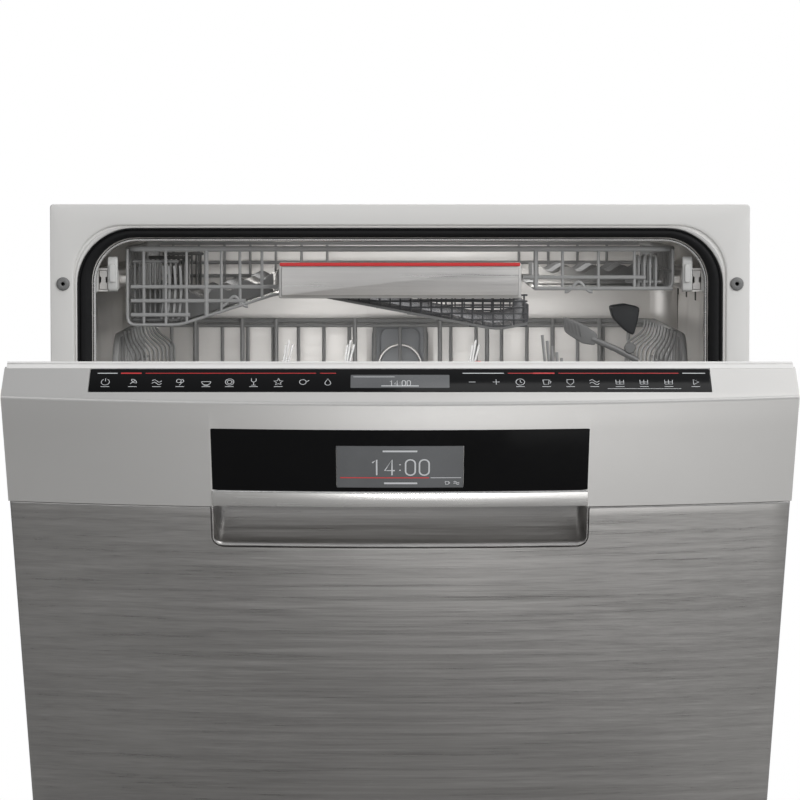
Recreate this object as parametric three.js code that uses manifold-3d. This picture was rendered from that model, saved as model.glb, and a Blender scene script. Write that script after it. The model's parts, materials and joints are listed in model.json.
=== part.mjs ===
// Built-in dishwasher, 60 cm wide, standing with its door ajar.
// Millimetres. +X is to the right seen from the front, +Y goes back into the machine, +Z is up.
// While it is being made, y = 0 is the front flange and z = 0 is the floor. At the end the whole
// machine is centred in y, so that its origin is the middle of its footprint.
import * as THREE from "three";
import { mergeVertices } from "three/addons/utils/BufferGeometryUtils.js";
import Module from "manifold-3d";

const wasm = await Module();
wasm.setup();

// ---- Driving dimensions ----
const WIDTH = 598; // over the side strips
const HEIGHT = 815; // floor to the top of the front frame
const CABINET_DEPTH = 513; // front flange to the rear panel
const HINGE_HEIGHT = 108; // door axis above the floor
const DOOR_OPEN = 32.7; // degrees from closed
const CLEAR = 0.3; // gap between pieces that touch

const SHEET = 0.8; // outer sheet metal
const TUB_SHEET = 1; // tub walls
const STRIP = 23; // width of the light side strips
const SEAL = 12; // width of the door seal
const SEAL_FRONT = -0.2; // the seal stands this far in front of the flange, where the door meets it
const SEAL_TOP = 8; // height of the seal under the opening's top edge
const SEAL_CORNER = 10; // the seal's inner corners are this much tighter than the opening's
const FRAME_TOP = 20.5; // height of the front frame above the opening
const FRAME_FOOT = 16; // foot of the front frame above the hinge axis
const FRAME_CORNER = 3; // outer radius of the front frame
const OPENING_CORNER = 48; // radius of the opening's upper corners
const RIM_Y = 10; // where the tub's rim starts behind the flange
const RIM_LIP = 3; // the tub's rim inside the seal
const TUB_INSET = 26.5; // outer face of the tub wall from the machine's side
const TUB_HEAD = 18; // tub top below the frame's top
const TUB_CORNER = 42; // outer radius of the tub's upper corners
const TUB_FLOOR = 134; // top of the tub floor
const TUB_PLATE = 2; // thickness of the tub floor and of the tub's front rim
const TUB_APRON = 22; // depth of the tub floor's front edge
const TUB_BACK = 487; // inner face of the tub's back wall
const TRAY_INSET = 31; // base tray from the machine's side
const PANEL_FOOT = 98; // lower edge of the outer sheets
const PANEL_HEAD = 10; // the outer sheets end below the frame's top
const PLUG = { inset: 11, below: 68, radius: 5.75, proud: 2.5 }; // covers of the fixing screws
const PLINTH_SETBACK = 60; // kick plate behind the flange
const PLINTH = { foot: 10, top: 97, side: 1, half: 2 }; // half: half of its thickness
const TRAY = { foot: 22, wall: 3, backGap: 6 };
const FOOT = { side: 30, end: 40, radius: 21, disc: 9, stem: 6 };
const INLET = { side: 43, halfX: 30, gap: 37, depth: 56, back: 4, height: 50, nozzle: 13 };
const PUMP = { y: 330, radius: 36, bell: 46, from: -150, bellFrom: -30, to: 0, base: [-120, -60], baseHalf: 25, baseHeight: 30 };

const DOOR_GAP = 5; // door top below the frame's top
const DOOR_BACK = 4.3; // liner edge in front of the hinge axis
const DOOR_END = 46.9; // door front at its ends, in front of the hinge axis
const DOOR_BOW = 9.1; // how far the middle of the front stands out more
const DOOR_SIDE = 1.5; // door ends inside the machine's width
const DOOR_WALL = 3; // console wall
const DOOR_SHEET = 1; // door panel and liner
const DOOR_FOOT = 4; // lower edge of the door above the hinge axis
const CONSOLE = 97.7; // height of the console on the door front
const WINDOW_DEPTH = 2; // thickness of the glass set into the front
const DISPLAY = { half: 142.3, top: 24.7, bottom: 81.8 }; // from the door's top edge
const SCREEN = { half: 47.7, top: 39.6, bottom: 78.6 };
const KEYS_GLASS = { half: 232.5, from: 10.8, to: 41.1, thick: 1.5 };
const GRIP = { half: 143.5, height: 37.8, depth: 36, wall: 1.5 };

const WIRE = 4; // thick line of a basket's wall
// side: gap at each side to the runner or, for the lower basket, to the tub. Heights of the drawer
// and its rails are measured down from the drawer's top, and of the middle basket from its own top.
const DRAWER = { side: 13.6, front: 25, back: 455, head: 18, rail: 29, level: 44, deep: 71, sheet: 3 };
const SLOPE = { flat: 47.6, end: 106, shelf: 66, right: 113 }; // the drawer's floor, left to right
const MESH = { left: 65, keel: 84, right: 112, sink: 29.5, rise: 24, drop: 4, wall: 3 };
const HANDLE = { half: 104, proud: 19, above: 13.8, below: 44.6 };
const BASKET = { side: 1.2, front: 32, back: 462, below: 76.5, height: 247.5, dip: 34.5, rail: 62.5 };
const LOWER = { side: 25.5, front: 48, back: 462, lift: 36, below: 25, dip: 105 };
const CUP_SHELF = { gap: 2, below: 96.5, from: 90, to: 400, width: 90 };
const TINES = { x: -60, lowerX: 110, count: 9, height: 60, lowerHeight: 90, end: 20, half: 2, turning: 3 };
const RAIL = { length: 440, front: 20, height: 20, depth: 9, web: 1.5, foot: 14, footHeight: 12, gap: 0.5 };
const RUNNER = { width: 9, half: 9, front: 4, back: 10, stay: 12, stayHalf: 4 };
const ARM = { y: 247, gap: 16.5, below: 25, thick: 10, tip: 12, end: 20, belly: 34, root: 26, cut: 14 };
const HUB = { tower: 14, rise: 12, lower: 24, lowerHeight: 14, middle: 20 };
const DUCT = { half: 29, tube: 12, deep: 12, below: 0.5, port: 47.5, portRadius: 22, portDeep: 16 };
const DUCT_PANEL = { half: 24, deep: 8, from: 262.5, to: 62.5 }; // from and to: below the middle basket's top
const WHEEL = { radius: 15, width: 8, hub: 4, front: 110, back: 400, lift: 1, play: 0.5, axle: 9, stub: 5 };
const SUMP = { x: 92, y: 196, radius: 70, depth: 80, wall: 3, filter: 40, grip: 26 };
const SALT = { side: 78, y: 140, radius: 30, lip: 4, rise: 7, grip: 24 };
const SOFTENER = { left: 55, right: 70, front: 50, back: 90 };
const GRIP_BAR = 4; // half width and height of the bars that turn the filter and the caps

const half = WIDTH / 2;
const doorTop = HEIGHT - DOOR_GAP - HINGE_HEIGHT;
const consoleFoot = doorTop - CONSOLE;
const doorHalf = half - DOOR_SIDE;
const tubHalf = half - TUB_INSET;
const tubTop = HEIGHT - TUB_HEAD;
const tubInner = tubHalf - TUB_SHEET;
const opening = half - STRIP; // half width of the front frame's opening
const openingTop = HEIGHT - FRAME_TOP;
const rimHalf = opening - SEAL - RIM_LIP; // half width inside the tub's rim
const railOut = rimHalf - RAIL.gap; // the rails run far enough in to pass the tub's rim
const runnerOut = railOut - RAIL.depth - CLEAR;

// The racks hang from the top down, and the arm and the lower basket below them.
const drawerTop = tubTop - DRAWER.head;
const drawerHalf = runnerOut - DRAWER.side;
const level = drawerTop - DRAWER.level;
const basketTop = drawerTop - BASKET.below;
const middle = {
  half: runnerOut - BASKET.side,
  front: BASKET.front,
  back: BASKET.back,
  floor: basketTop - BASKET.height,
  top: basketTop,
};
const armMiddleZ = middle.floor - ARM.below;
const lower = {
  half: tubInner - LOWER.side,
  front: LOWER.front,
  back: LOWER.back,
  floor: TUB_FLOOR + LOWER.lift,
  top: armMiddleZ - LOWER.below,
};
// The arms turn inside the tub, whichever of its width and depth is less.
const armReach = Math.min(tubInner, (TUB_BACK - RIM_Y) / 2) - ARM.gap;

// ---- Materials ----
const paint = (color, roughness, metalness) =>
  new THREE.MeshStandardMaterial({ color, roughness, metalness });
const steel = paint(0xb4b3b0, 0.32, 1);
const brushed = paint(0xa09e9b, 0.38, 1);
const silver = paint(0xb9b7b3, 0.5, 0.3);
const strip = paint(0xcdccc9, 0.55, 0.2);
const black = paint(0x0b0b0c, 0.08, 0);
const lcd = paint(0x77787a, 0.25, 0);
const bright = paint(0xd9d8d4, 0.25, 1);
const rubber = paint(0x1d1d1e, 0.8, 0);
const zinc = paint(0x9fa3a6, 0.45, 1);
const tray = paint(0x2c2e30, 0.7, 0);
const grey = paint(0x8b8b89, 0.55, 0);
const darkMesh = paint(0x55565a, 0.6, 0);
const pale = paint(0xd6d5d1, 0.45, 0);
const wire = paint(0xa3a29f, 0.4, 0.2);

// ---- Solids ----
const geometryOf = (solid) => {
  const { vertProperties, triVerts } = solid.getMesh();
  const geometry = new THREE.BufferGeometry();
  geometry.setAttribute("position", new THREE.BufferAttribute(vertProperties, 3));
  geometry.setIndex(new THREE.BufferAttribute(triVerts, 1));
  const faceted = geometry.toNonIndexed();
  faceted.computeVertexNormals();
  return faceted;
};

// A closed three.js geometry as a solid that can be joined and cut.
const solidOf = (geometry) => {
  geometry.deleteAttribute("normal");
  geometry.deleteAttribute("uv");
  const { attributes, index } = mergeVertices(geometry, 1e-4);
  const vertProperties = attributes.position.array;
  return new wasm.Manifold(new wasm.Mesh({ numProp: 3, vertProperties, triVerts: index.array }));
};

const block = ([x0, x1], [y0, y1], [z0, z1]) =>
  solidOf(
    new THREE.BoxGeometry(x1 - x0, y1 - y0, z1 - z0).translate(
      (x0 + x1) / 2,
      (y0 + y1) / 2,
      (z0 + z1) / 2,
    ),
  );

// An outline pushed along an axis. It is drawn in (y, z) for x, in (x, z) for y and in (x, y) for z.
const push = (axis, outline, from, to, curveSegments = 10) => {
  const geometry = new THREE.ExtrudeGeometry(outline, {
    depth: to - from,
    bevelEnabled: false,
    curveSegments,
  });
  if (axis === "x") {
    const turn = new THREE.Matrix4().makeBasis(
      new THREE.Vector3(0, 1, 0),
      new THREE.Vector3(0, 0, 1),
      new THREE.Vector3(1, 0, 0),
    );
    return solidOf(geometry.applyMatrix4(turn).translate(from, 0, 0));
  }
  if (axis === "y") return solidOf(geometry.rotateX(Math.PI / 2).translate(0, to, 0));
  return solidOf(geometry.translate(0, 0, from));
};

const polygon = (...points) => new THREE.Shape(points.map(([a, b]) => new THREE.Vector2(a, b)));

const circle = (a, b, radius) => {
  const outline = new THREE.Shape();
  outline.absarc(a, b, radius, 0, 2 * Math.PI);
  return outline;
};

const rod = (axis, a, b, radius, from, to) => push(axis, circle(a, b, radius), from, to, 16);

// A doorway outline: straight sides, a flat foot and two round upper corners.
const arch = (halfWidth, foot, top, radius) => {
  const outline = new THREE.Shape();
  outline.moveTo(-halfWidth, foot);
  outline.lineTo(halfWidth, foot);
  outline.lineTo(halfWidth, top - radius);
  outline.absarc(halfWidth - radius, top - radius, radius, 0, Math.PI / 2);
  outline.lineTo(radius - halfWidth, top);
  outline.absarc(radius - halfWidth, top - radius, radius, Math.PI / 2, Math.PI);
  return outline;
};

const join = (first, ...others) => others.reduce((sum, next) => sum.add(next), first);
const cut = (first, ...tools) => tools.reduce((rest, tool) => rest.subtract(tool), first);

const both = [
  ["left", -1],
  ["right", 1],
];
// The span from a to b on the side that the sign names.
const side = (sign, a, b) => (sign > 0 ? [a, b] : [-b, -a]);

const machine = new THREE.Group();
const door = new THREE.Group();
door.position.z = HINGE_HEIGHT;
door.rotation.x = THREE.MathUtils.degToRad(DOOR_OPEN);
machine.add(door);

const piece = (name, solid, material, parent = machine) => {
  const mesh = new THREE.Mesh(geometryOf(solid), material);
  mesh.name = name;
  parent.add(mesh);
};

// ---- Cabinet ----
const trayHalf = half - TRAY_INSET;
const inletX = INLET.side - trayHalf;
const hoseSpan = [inletX - INLET.gap, inletX + INLET.gap];
const panelRise = [PANEL_FOOT, HEIGHT - PANEL_HEAD];
function cabinet() {
  const frameBack = RIM_Y - CLEAR;
  piece(
    "front_frame",
    cut(
      push("y", arch(half, HINGE_HEIGHT + FRAME_FOOT, HEIGHT, FRAME_CORNER), 0, frameBack),
      push("y", arch(opening, 0, openingTop, OPENING_CORNER), -1, frameBack + 1),
    ),
    strip,
  );
  const sealOuter = arch(opening - CLEAR, TUB_FLOOR, openingTop - CLEAR, OPENING_CORNER - CLEAR);
  const sealInner = arch(opening - SEAL, 0, openingTop - SEAL_TOP, OPENING_CORNER - SEAL_CORNER);
  piece(
    "door_seal",
    cut(push("y", sealOuter, SEAL_FRONT, frameBack), push("y", sealInner, -3, frameBack + 1)),
    rubber,
  );
  for (const [name, sign] of both) {
    const skin = side(sign, half - SHEET, half);
    const panelSpan = [RIM_Y, CABINET_DEPTH - SHEET - CLEAR];
    piece(`side_panel_${name}`, block(skin, panelSpan, panelRise), zinc);
    const cover = circle(sign * (half - PLUG.inset), HEIGHT - PLUG.below, PLUG.radius);
    piece(`fixing_plug_${name}`, push("y", cover, -PLUG.proud, -CLEAR, 8), grey);
  }
  const hoseGap = block(hoseSpan, [CABINET_DEPTH - 5, CABINET_DEPTH + 1], [PANEL_FOOT - 8, PANEL_FOOT + 20]);
  piece(
    "rear_panel",
    cut(
      block([-half, half], [CABINET_DEPTH - SHEET, CABINET_DEPTH], panelRise),
      hoseGap,
    ),
    zinc,
  );
}

// ---- Base ----
const saltX = SALT.side - trayHalf;
function base() {
  const { foot, wall } = TRAY;
  const front = PLINTH_SETBACK + PLINTH.half;
  const trayBack = CABINET_DEPTH - SHEET - TRAY.backGap;
  const trayTop = TUB_FLOOR - TUB_PLATE - CLEAR;
  piece(
    "base_tray",
    cut(
      block([-trayHalf, trayHalf], [front, trayBack], [foot, trayTop]),
      block([wall - trayHalf, trayHalf - wall], [front + wall, trayBack - wall], [foot + wall, trayTop + 1]),
      block(hoseSpan, [trayBack - 10, trayBack + 1], [foot + 38, trayTop + 1]),
    ),
    tray,
  );
  const plinthSpan = [PLINTH_SETBACK - PLINTH.half, front - CLEAR];
  piece("kick_plate", block([PLINTH.side - half, half - PLINTH.side], plinthSpan, [PLINTH.foot, PLINTH.top]), tray);
  const feet = {
    foot_front_left: [FOOT.side - trayHalf, PLINTH_SETBACK + FOOT.end],
    foot_front_right: [trayHalf - FOOT.side, PLINTH_SETBACK + FOOT.end],
    foot_rear: [0, trayBack - FOOT.end],
  };
  for (const [name, [x, y]] of Object.entries(feet)) {
    const stem = rod("z", x, y, FOOT.stem, FOOT.disc - 1, foot - CLEAR);
    piece(name, join(rod("z", x, y, FOOT.radius, 0, FOOT.disc), stem), tray);
  }

  const inTray = foot + wall + CLEAR;
  const pumpZ = inTray + PUMP.bell;
  piece(
    "circulation_pump",
    join(
      rod("x", PUMP.y, pumpZ, PUMP.radius, PUMP.from, PUMP.bellFrom),
      rod("x", PUMP.y, pumpZ, PUMP.bell, PUMP.bellFrom, PUMP.to),
      block(PUMP.base, [PUMP.y - PUMP.baseHalf, PUMP.y + PUMP.baseHalf], [inTray, inTray + PUMP.baseHeight]),
    ),
    tray,
  );
  piece(
    "water_softener",
    join(
      block(
        [saltX - SOFTENER.left, saltX + SOFTENER.right],
        [SALT.y - SOFTENER.front, SALT.y + SOFTENER.back],
        [inTray, TUB_FLOOR - TUB_PLATE - 1],
      ),
      rod("z", saltX, SALT.y, SALT.radius, TUB_FLOOR - TUB_PLATE - 2, TUB_FLOOR + 1),
    ),
    pale,
  );
  const { halfX, depth, back, height, nozzle } = INLET;
  piece(
    "water_inlet",
    join(
      block([inletX - halfX, inletX + halfX], [trayBack - back - depth, trayBack - back], [inTray, inTray + height]),
      rod("y", inletX, inTray + height + nozzle - 1, nozzle, trayBack - 40, CABINET_DEPTH),
      block([inletX - 10, inletX + 10], [trayBack - 40, trayBack - 10], [inTray + height - 1, inTray + height + 10]),
    ),
    pale,
  );
}

// ---- Tub ----
function tub() {
  const wallFoot = TUB_FLOOR + CLEAR;
  const tubEnd = TUB_BACK + TUB_SHEET;
  const inside = arch(tubInner, 0, tubTop - TUB_SHEET, TUB_CORNER - TUB_SHEET);
  const rimCorner = OPENING_CORNER - SEAL_CORNER - RIM_LIP;
  const mouth = arch(rimHalf, 0, openingTop - SEAL_TOP - RIM_LIP, rimCorner);
  piece(
    "tub_shell",
    cut(
      push("y", arch(tubHalf, wallFoot, tubTop, TUB_CORNER), RIM_Y, tubEnd, 6),
      push("y", inside, RIM_Y + TUB_PLATE, TUB_BACK, 6),
      push("y", mouth, 0, RIM_Y + TUB_PLATE + 1, 6),
    ),
    steel,
  );
  const width = [-tubHalf, tubHalf];
  piece(
    "tub_floor",
    cut(
      join(
        block(width, [RIM_Y, tubEnd], [TUB_FLOOR - TUB_PLATE, TUB_FLOOR]),
        block(width, [RIM_Y, RIM_Y + TUB_PLATE], [TUB_FLOOR - TUB_APRON, TUB_FLOOR]),
        rod("z", 0, ARM.y, HUB.tower, TUB_FLOOR - 1, TUB_FLOOR + HUB.rise),
      ),
      rod("z", SUMP.x, SUMP.y, SUMP.radius + CLEAR, TUB_FLOOR - 30, TUB_FLOOR + 30),
      rod("z", saltX, SALT.y, SALT.radius + CLEAR, TUB_FLOOR - 30, TUB_FLOOR + 30),
    ),
    steel,
  );
  const sumpFoot = TUB_FLOOR - SUMP.depth;
  piece(
    "sump",
    cut(
      rod("z", SUMP.x, SUMP.y, SUMP.radius, sumpFoot, TUB_FLOOR),
      rod("z", SUMP.x, SUMP.y, SUMP.radius - SUMP.wall, sumpFoot + SUMP.wall, TUB_FLOOR + 1),
    ),
    tray,
  );
  const turnBar = (x, y, reach, from, to) =>
    block([x - reach, x + reach], [y - GRIP_BAR, y + GRIP_BAR], [from, to]);
  const plate = TUB_FLOOR - 1; // top of the filter's plate
  piece(
    "filter_cartridge",
    join(
      rod("z", SUMP.x, SUMP.y, SUMP.filter, sumpFoot + SUMP.wall + CLEAR, plate - 2),
      rod("z", SUMP.x, SUMP.y, SUMP.radius - SUMP.wall - 1, plate - 3, plate),
      turnBar(SUMP.x, SUMP.y, SUMP.grip, plate - 1, plate + 10),
    ),
    grey,
  );
  const cap = [TUB_FLOOR + 1 + CLEAR, TUB_FLOOR + 1 + SALT.rise];
  piece(
    "salt_cap",
    join(
      rod("z", saltX, SALT.y, SALT.radius + SALT.lip, ...cap),
      turnBar(saltX, SALT.y, SALT.grip, cap[1] - 1, cap[1] + GRIP_BAR),
    ),
    pale,
  );
  // The duct rises on the back wall and bends over at its top; a port in its middle feeds the basket's arm.
  const ductBack = TUB_BACK - CLEAR;
  const bend = DUCT.half - DUCT.tube;
  const ductTop = middle.top - DUCT.below;
  piece(
    "spray_duct",
    join(
      cut(
        push("y", arch(DUCT.half, wallFoot, ductTop, DUCT.half), ductBack - DUCT.deep, ductBack),
        push("y", arch(bend, 0, ductTop - DUCT.tube, bend), 0, TUB_BACK),
      ),
      block(
        [-DUCT_PANEL.half, DUCT_PANEL.half],
        [ductBack - DUCT_PANEL.deep, ductBack],
        [middle.top - DUCT_PANEL.from, middle.top - DUCT_PANEL.to],
      ),
      rod("y", 0, middle.top - DUCT.port, DUCT.portRadius, ductBack - DUCT.portDeep, ductBack),
    ),
    grey,
  );
}

// ---- Hinges ----
const BRACKET = { side: 11, plate: 3, nose: 8, length: 110, foot: 10, top: 12 };
const PIN = { radius: 4, length: 9, play: 0.6 };
const HINGE_ARM = { from: 8, to: 5, radius: 9, reach: 28, height: 70 };
const SPRING = { side: 15, z: 62, radius: 8, from: 120, to: 320 };
const bracketX = half - BRACKET.side; // outer face of the bracket
function hinges() {
  const { nose, foot, top, length } = BRACKET;
  const outline = polygon(
    [0, HINGE_HEIGHT - nose],
    [30, HINGE_HEIGHT - foot],
    [length, HINGE_HEIGHT - foot],
    [length, HINGE_HEIGHT + top],
    [0, HINGE_HEIGHT + nose],
  );
  for (const [name, sign] of both) {
    const plate = side(sign, bracketX - BRACKET.plate, bracketX);
    const pin = side(sign, bracketX - PIN.length, bracketX - 1);
    piece(
      `hinge_bracket_${name}`,
      join(
        push("x", outline, ...plate),
        rod("x", 0, HINGE_HEIGHT, nose, ...plate),
        rod("x", 0, HINGE_HEIGHT, PIN.radius, ...pin),
      ),
      zinc,
    );
    const springX = sign * (half - SPRING.side);
    piece(`balance_spring_${name}`, rod("y", springX, SPRING.z, SPRING.radius, SPRING.from, SPRING.to), zinc);
  }
}

// ---- Door, drawn closed: y = -w with w in front of the hinge axis, z = height above that axis ----
// The front bows out as a parabola. inset moves it back, and ends is its half width.
const bowed = (ends, backFace, inset = 0) => {
  const outline = new THREE.Shape();
  outline.moveTo(-ends, -backFace);
  outline.lineTo(-ends, inset - DOOR_END);
  outline.quadraticCurveTo(0, inset - DOOR_END - 2 * DOOR_BOW, ends, inset - DOOR_END);
  outline.lineTo(ends, -backFace);
  return outline;
};
// A stretch of the bowed front: between two insets, two heights and two sides.
const frontLayer = (halfWidth, z0, z1, outer, inner) =>
  cut(
    push("z", bowed(doorHalf, 10, outer), z0, z1, 20),
    push("z", bowed(doorHalf + 5, 5, inner), z0 - 1, z1 + 1, 20),
    block([halfWidth, 400], [-99, 0], [0, 900]),
    block([-400, -halfWidth], [-99, 0], [0, 900]),
  );

function doorFront() {
  const shellBack = DOOR_BACK + 1.8;
  const windowHalf = DISPLAY.half + CLEAR;
  const hollow = (wall) => bowed(doorHalf - wall, shellBack - 5, wall);
  const glass = KEYS_GLASS;
  piece(
    "console",
    cut(
      push("z", bowed(doorHalf, shellBack), consoleFoot, doorTop, 20),
      push("z", hollow(DOOR_WALL), consoleFoot - 1, doorTop - 4.5, 20),
      block([-400, 400], [-glass.from, 0], [doorTop - glass.thick - CLEAR, doorTop + 1]),
      block(
        [-glass.half - CLEAR, glass.half + CLEAR],
        [-glass.to - CLEAR, 0],
        [doorTop - glass.thick - CLEAR, doorTop + 1],
      ),
      frontLayer(
        windowHalf,
        consoleFoot - 1,
        doorTop - DISPLAY.top + CLEAR,
        -1,
        WINDOW_DEPTH + CLEAR,
      ),
    ),
    silver,
    door,
  );
  piece(
    "control_glass",
    block(
      [-glass.half, glass.half],
      [-glass.to, -glass.from - CLEAR],
      [doorTop - glass.thick, doorTop],
    ),
    black,
    door,
  );
  const screenZ = [doorTop - SCREEN.bottom, doorTop - SCREEN.top];
  const wide = SCREEN.half + CLEAR;
  piece(
    "display_glass",
    cut(
      frontLayer(DISPLAY.half, doorTop - DISPLAY.bottom, doorTop - DISPLAY.top, 0, WINDOW_DEPTH),
      block([-wide, wide], [-99, 0], [screenZ[0] - CLEAR, screenZ[1] + CLEAR]),
    ),
    black,
    door,
  );
  piece("screen", frontLayer(SCREEN.half, ...screenZ, 0.2, WINDOW_DEPTH), lcd, door);
  piece(
    "trim_strip",
    frontLayer(
      DISPLAY.half,
      consoleFoot + CLEAR,
      doorTop - DISPLAY.bottom - CLEAR,
      -0.8,
      WINDOW_DEPTH,
    ),
    bright,
    door,
  );
  const panelTop = consoleFoot - 0.8;
  const gripFoot = panelTop - GRIP.height;
  const gripWide = GRIP.half + CLEAR;
  piece(
    "door_panel",
    cut(
      push("z", bowed(doorHalf - 1, shellBack), DOOR_FOOT, panelTop, 20),
      push("z", hollow(1 + DOOR_SHEET), DOOR_FOOT - 1, panelTop - DOOR_SHEET, 20),
      block([-gripWide, gripWide], [-99, -shellBack - 5], [gripFoot - CLEAR, panelTop + 1]),
    ),
    brushed,
    door,
  );
  // The grip is a scoop: its floor rises from the front edge and curves up to its back wall.
  const reach = DOOR_END + DOOR_BOW;
  const scoop = new THREE.Shape();
  scoop.moveTo(-reach - 5, gripFoot + GRIP.wall);
  scoop.lineTo(5 - reach, gripFoot + GRIP.wall);
  scoop.quadraticCurveTo(GRIP.depth - reach, gripFoot + 6, GRIP.depth - reach, panelTop - 12);
  scoop.lineTo(GRIP.depth - reach, panelTop - GRIP.wall);
  scoop.lineTo(-reach - 5, panelTop - GRIP.wall);
  piece(
    "grip_cup",
    cut(
      push("z", bowed(doorHalf, reach - GRIP.depth - 3), gripFoot, panelTop, 20),
      block([GRIP.half, 400], [-99, 0], [0, 900]),
      block([-400, -GRIP.half], [-99, 0], [0, 900]),
      push("x", scoop, GRIP.wall - GRIP.half, GRIP.half - GRIP.wall),
    ),
    brushed,
    door,
  );
}

const LINER = { side: 1.5, raised: 3.8, border: 46, slant: 10, foot: 12 };
const LATCH = { below: 34, half: 10, high: 4, back: 24, proud: 8.5, play: 1 };
const DISPENSER = { x: 15, below: 247, halfX: 88, halfZ: 60, proud: 10, deep: 26, floor: 3 };
const CELL = { x: -33, half: 35, high: 42, lip: 4 };
const RINSE = { x: 48, radius: 20, grip: 16 };
const CAP = 3; // top of the lid and of the rinse cap above the dispenser's face
function doorBack() {
  const edge = doorHalf - LINER.side;
  const raised = DOOR_BACK - LINER.raised;
  const dish = edge - LINER.border;
  const flat = dish - LINER.slant;
  const across = [
    [-edge, DOOR_BACK],
    [-dish, DOOR_BACK],
    [-flat, raised],
    [flat, raised],
    [dish, DOOR_BACK],
    [edge, DOOR_BACK],
  ];
  const front = across.map(([x, w]) => [x, -w - DOOR_SHEET]);
  const back = across.map(([x, w]) => [x, -w]).reverse();
  const face = polygon(...front, ...back);
  const { x, halfX, halfZ, proud, deep } = DISPENSER;
  const z = doorTop - DISPENSER.below;
  const arm = (sign) => {
    const { reach, height, radius } = HINGE_ARM;
    const outline = polygon([-reach, 0], [-reach, height], [-DOOR_BACK, height], [-DOOR_BACK, 0]);
    const span = side(sign, bracketX - HINGE_ARM.from, bracketX - HINGE_ARM.to);
    return cut(
      join(push("x", outline, ...span), rod("x", 0, 0, radius, ...span)),
      rod("x", 0, 0, PIN.radius + PIN.play, ...side(sign, bracketX - 20, bracketX)),
    );
  };
  const latchZ = doorTop - LATCH.below;
  const lip = [doorTop - KEYS_GLASS.thick, doorTop];
  piece(
    "door_liner",
    join(
      cut(
        push("z", face, LINER.foot, doorTop),
        block([x - halfX, x + halfX], [-20, 20], [z - halfZ, z + halfZ]),
        block(
          [-LATCH.half - LATCH.play, LATCH.half + LATCH.play],
          [-20, 20],
          [latchZ - LATCH.high - LATCH.play, latchZ + LATCH.high + LATCH.play],
        ),
      ),
      block([-edge, edge], [CLEAR - KEYS_GLASS.from, -DOOR_BACK], lip),
      block([-flat, flat], [-DOOR_BACK, -raised], lip),
      arm(-1),
      arm(1),
    ),
    steel,
    door,
  );
  const bolt = block([-LATCH.half, LATCH.half], [-LATCH.back, LATCH.proud], [latchZ - LATCH.high, latchZ + LATCH.high]);
  piece("door_latch", bolt, pale, door);
  const cellSpan = (grow) => [x + CELL.x - CELL.half - grow, x + CELL.x + CELL.half + grow];
  piece(
    "dispenser",
    cut(
      block(
        [x - halfX + CLEAR, x + halfX - CLEAR],
        [-deep, proud],
        [z - halfZ + CLEAR, z + halfZ - CLEAR],
      ),
      block(cellSpan(0), [DISPENSER.floor - deep, proud + 1], [z - CELL.high, z + CELL.high]),
    ),
    grey,
    door,
  );
  const capY = [proud + CLEAR, proud + CAP];
  const lidRise = [z - CELL.high - CELL.lip, z + CELL.high + CELL.lip];
  piece("dispenser_lid", block(cellSpan(CELL.lip), capY, lidRise), pale, door);
  piece(
    "rinse_cap",
    join(
      rod("y", x + RINSE.x, z, RINSE.radius, ...capY),
      block([x + RINSE.x - RINSE.grip, x + RINSE.x + RINSE.grip], [capY[1] - 1, capY[1] + 3], [z - 3, z + 3]),
    ),
    pale,
    door,
  );
}

// ---- Telescopic rails: a channel on the tub wall, a middle member, and the basket's own runner ----
// Feet hold each channel off the wall.
const railSpan = [RAIL.front, RAIL.front + RAIL.length];
const railStops = [RAIL.front + 20, RAIL.front + RAIL.length - 60];
function rails(name, z) {
  const { web, height, depth, foot, footHeight } = RAIL;
  const lips = [z - height / 2, z + height / 2];
  for (const [hand, sign] of both) {
    const channel = cut(
      block(side(sign, railOut - depth, railOut), railSpan, lips),
      block(side(sign, railOut - 2 * depth, railOut - web), [0, TUB_BACK], [lips[0] + web, lips[1] - web]),
    );
    const footRise = [z - footHeight / 2, z + footHeight / 2];
    const feet = railStops.map((y) =>
      block(side(sign, railOut - web / 2, tubInner - CLEAR), [y, y + foot], footRise),
    );
    piece(`${name}_rail_${hand}`, join(channel, ...feet), steel);
    const member = side(sign, railOut - depth + 0.5, railOut - web - CLEAR);
    const slot = [lips[0] + web + CLEAR, lips[1] - web - CLEAR];
    piece(`${name}_slider_${hand}`, block(member, [railSpan[0] + 2, railSpan[1] - 8], slot), steel);
  }
}
// The runner that ties a basket to its slider, with the stays between the two.
function runners(z, basketHalf) {
  const inner = Math.max(runnerOut - RUNNER.width, basketHalf - WIRE);
  const stay = [basketHalf - WIRE / 2, Math.max(inner, basketHalf) + 0.5];
  const span = [railSpan[0] + RUNNER.front, railSpan[1] - RUNNER.back];
  return both.flatMap(([, sign]) => [
    block(side(sign, inner, runnerOut), span, [z - RUNNER.half, z + RUNNER.half]),
    ...railStops.map((y) =>
      block(side(sign, ...stay), [y, y + RUNNER.stay], [z - RUNNER.stayHalf, z + RUNNER.stayHalf]),
    ),
  ]);
}

// An open-topped basket: four thin walls on a floor, the front one lower by the dip.
const openBasket = ({ half: w, front, back, floor, top }, dip) =>
  cut(
    block([-w, w], [front, back], [floor, top]),
    block([WIRE - w, w - WIRE], [front + WIRE, back - WIRE], [floor + WIRE, top + 1]),
    block([-half, half], [front - 1, front + WIRE + 1], [top - dip, top + 1]),
  );

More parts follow.
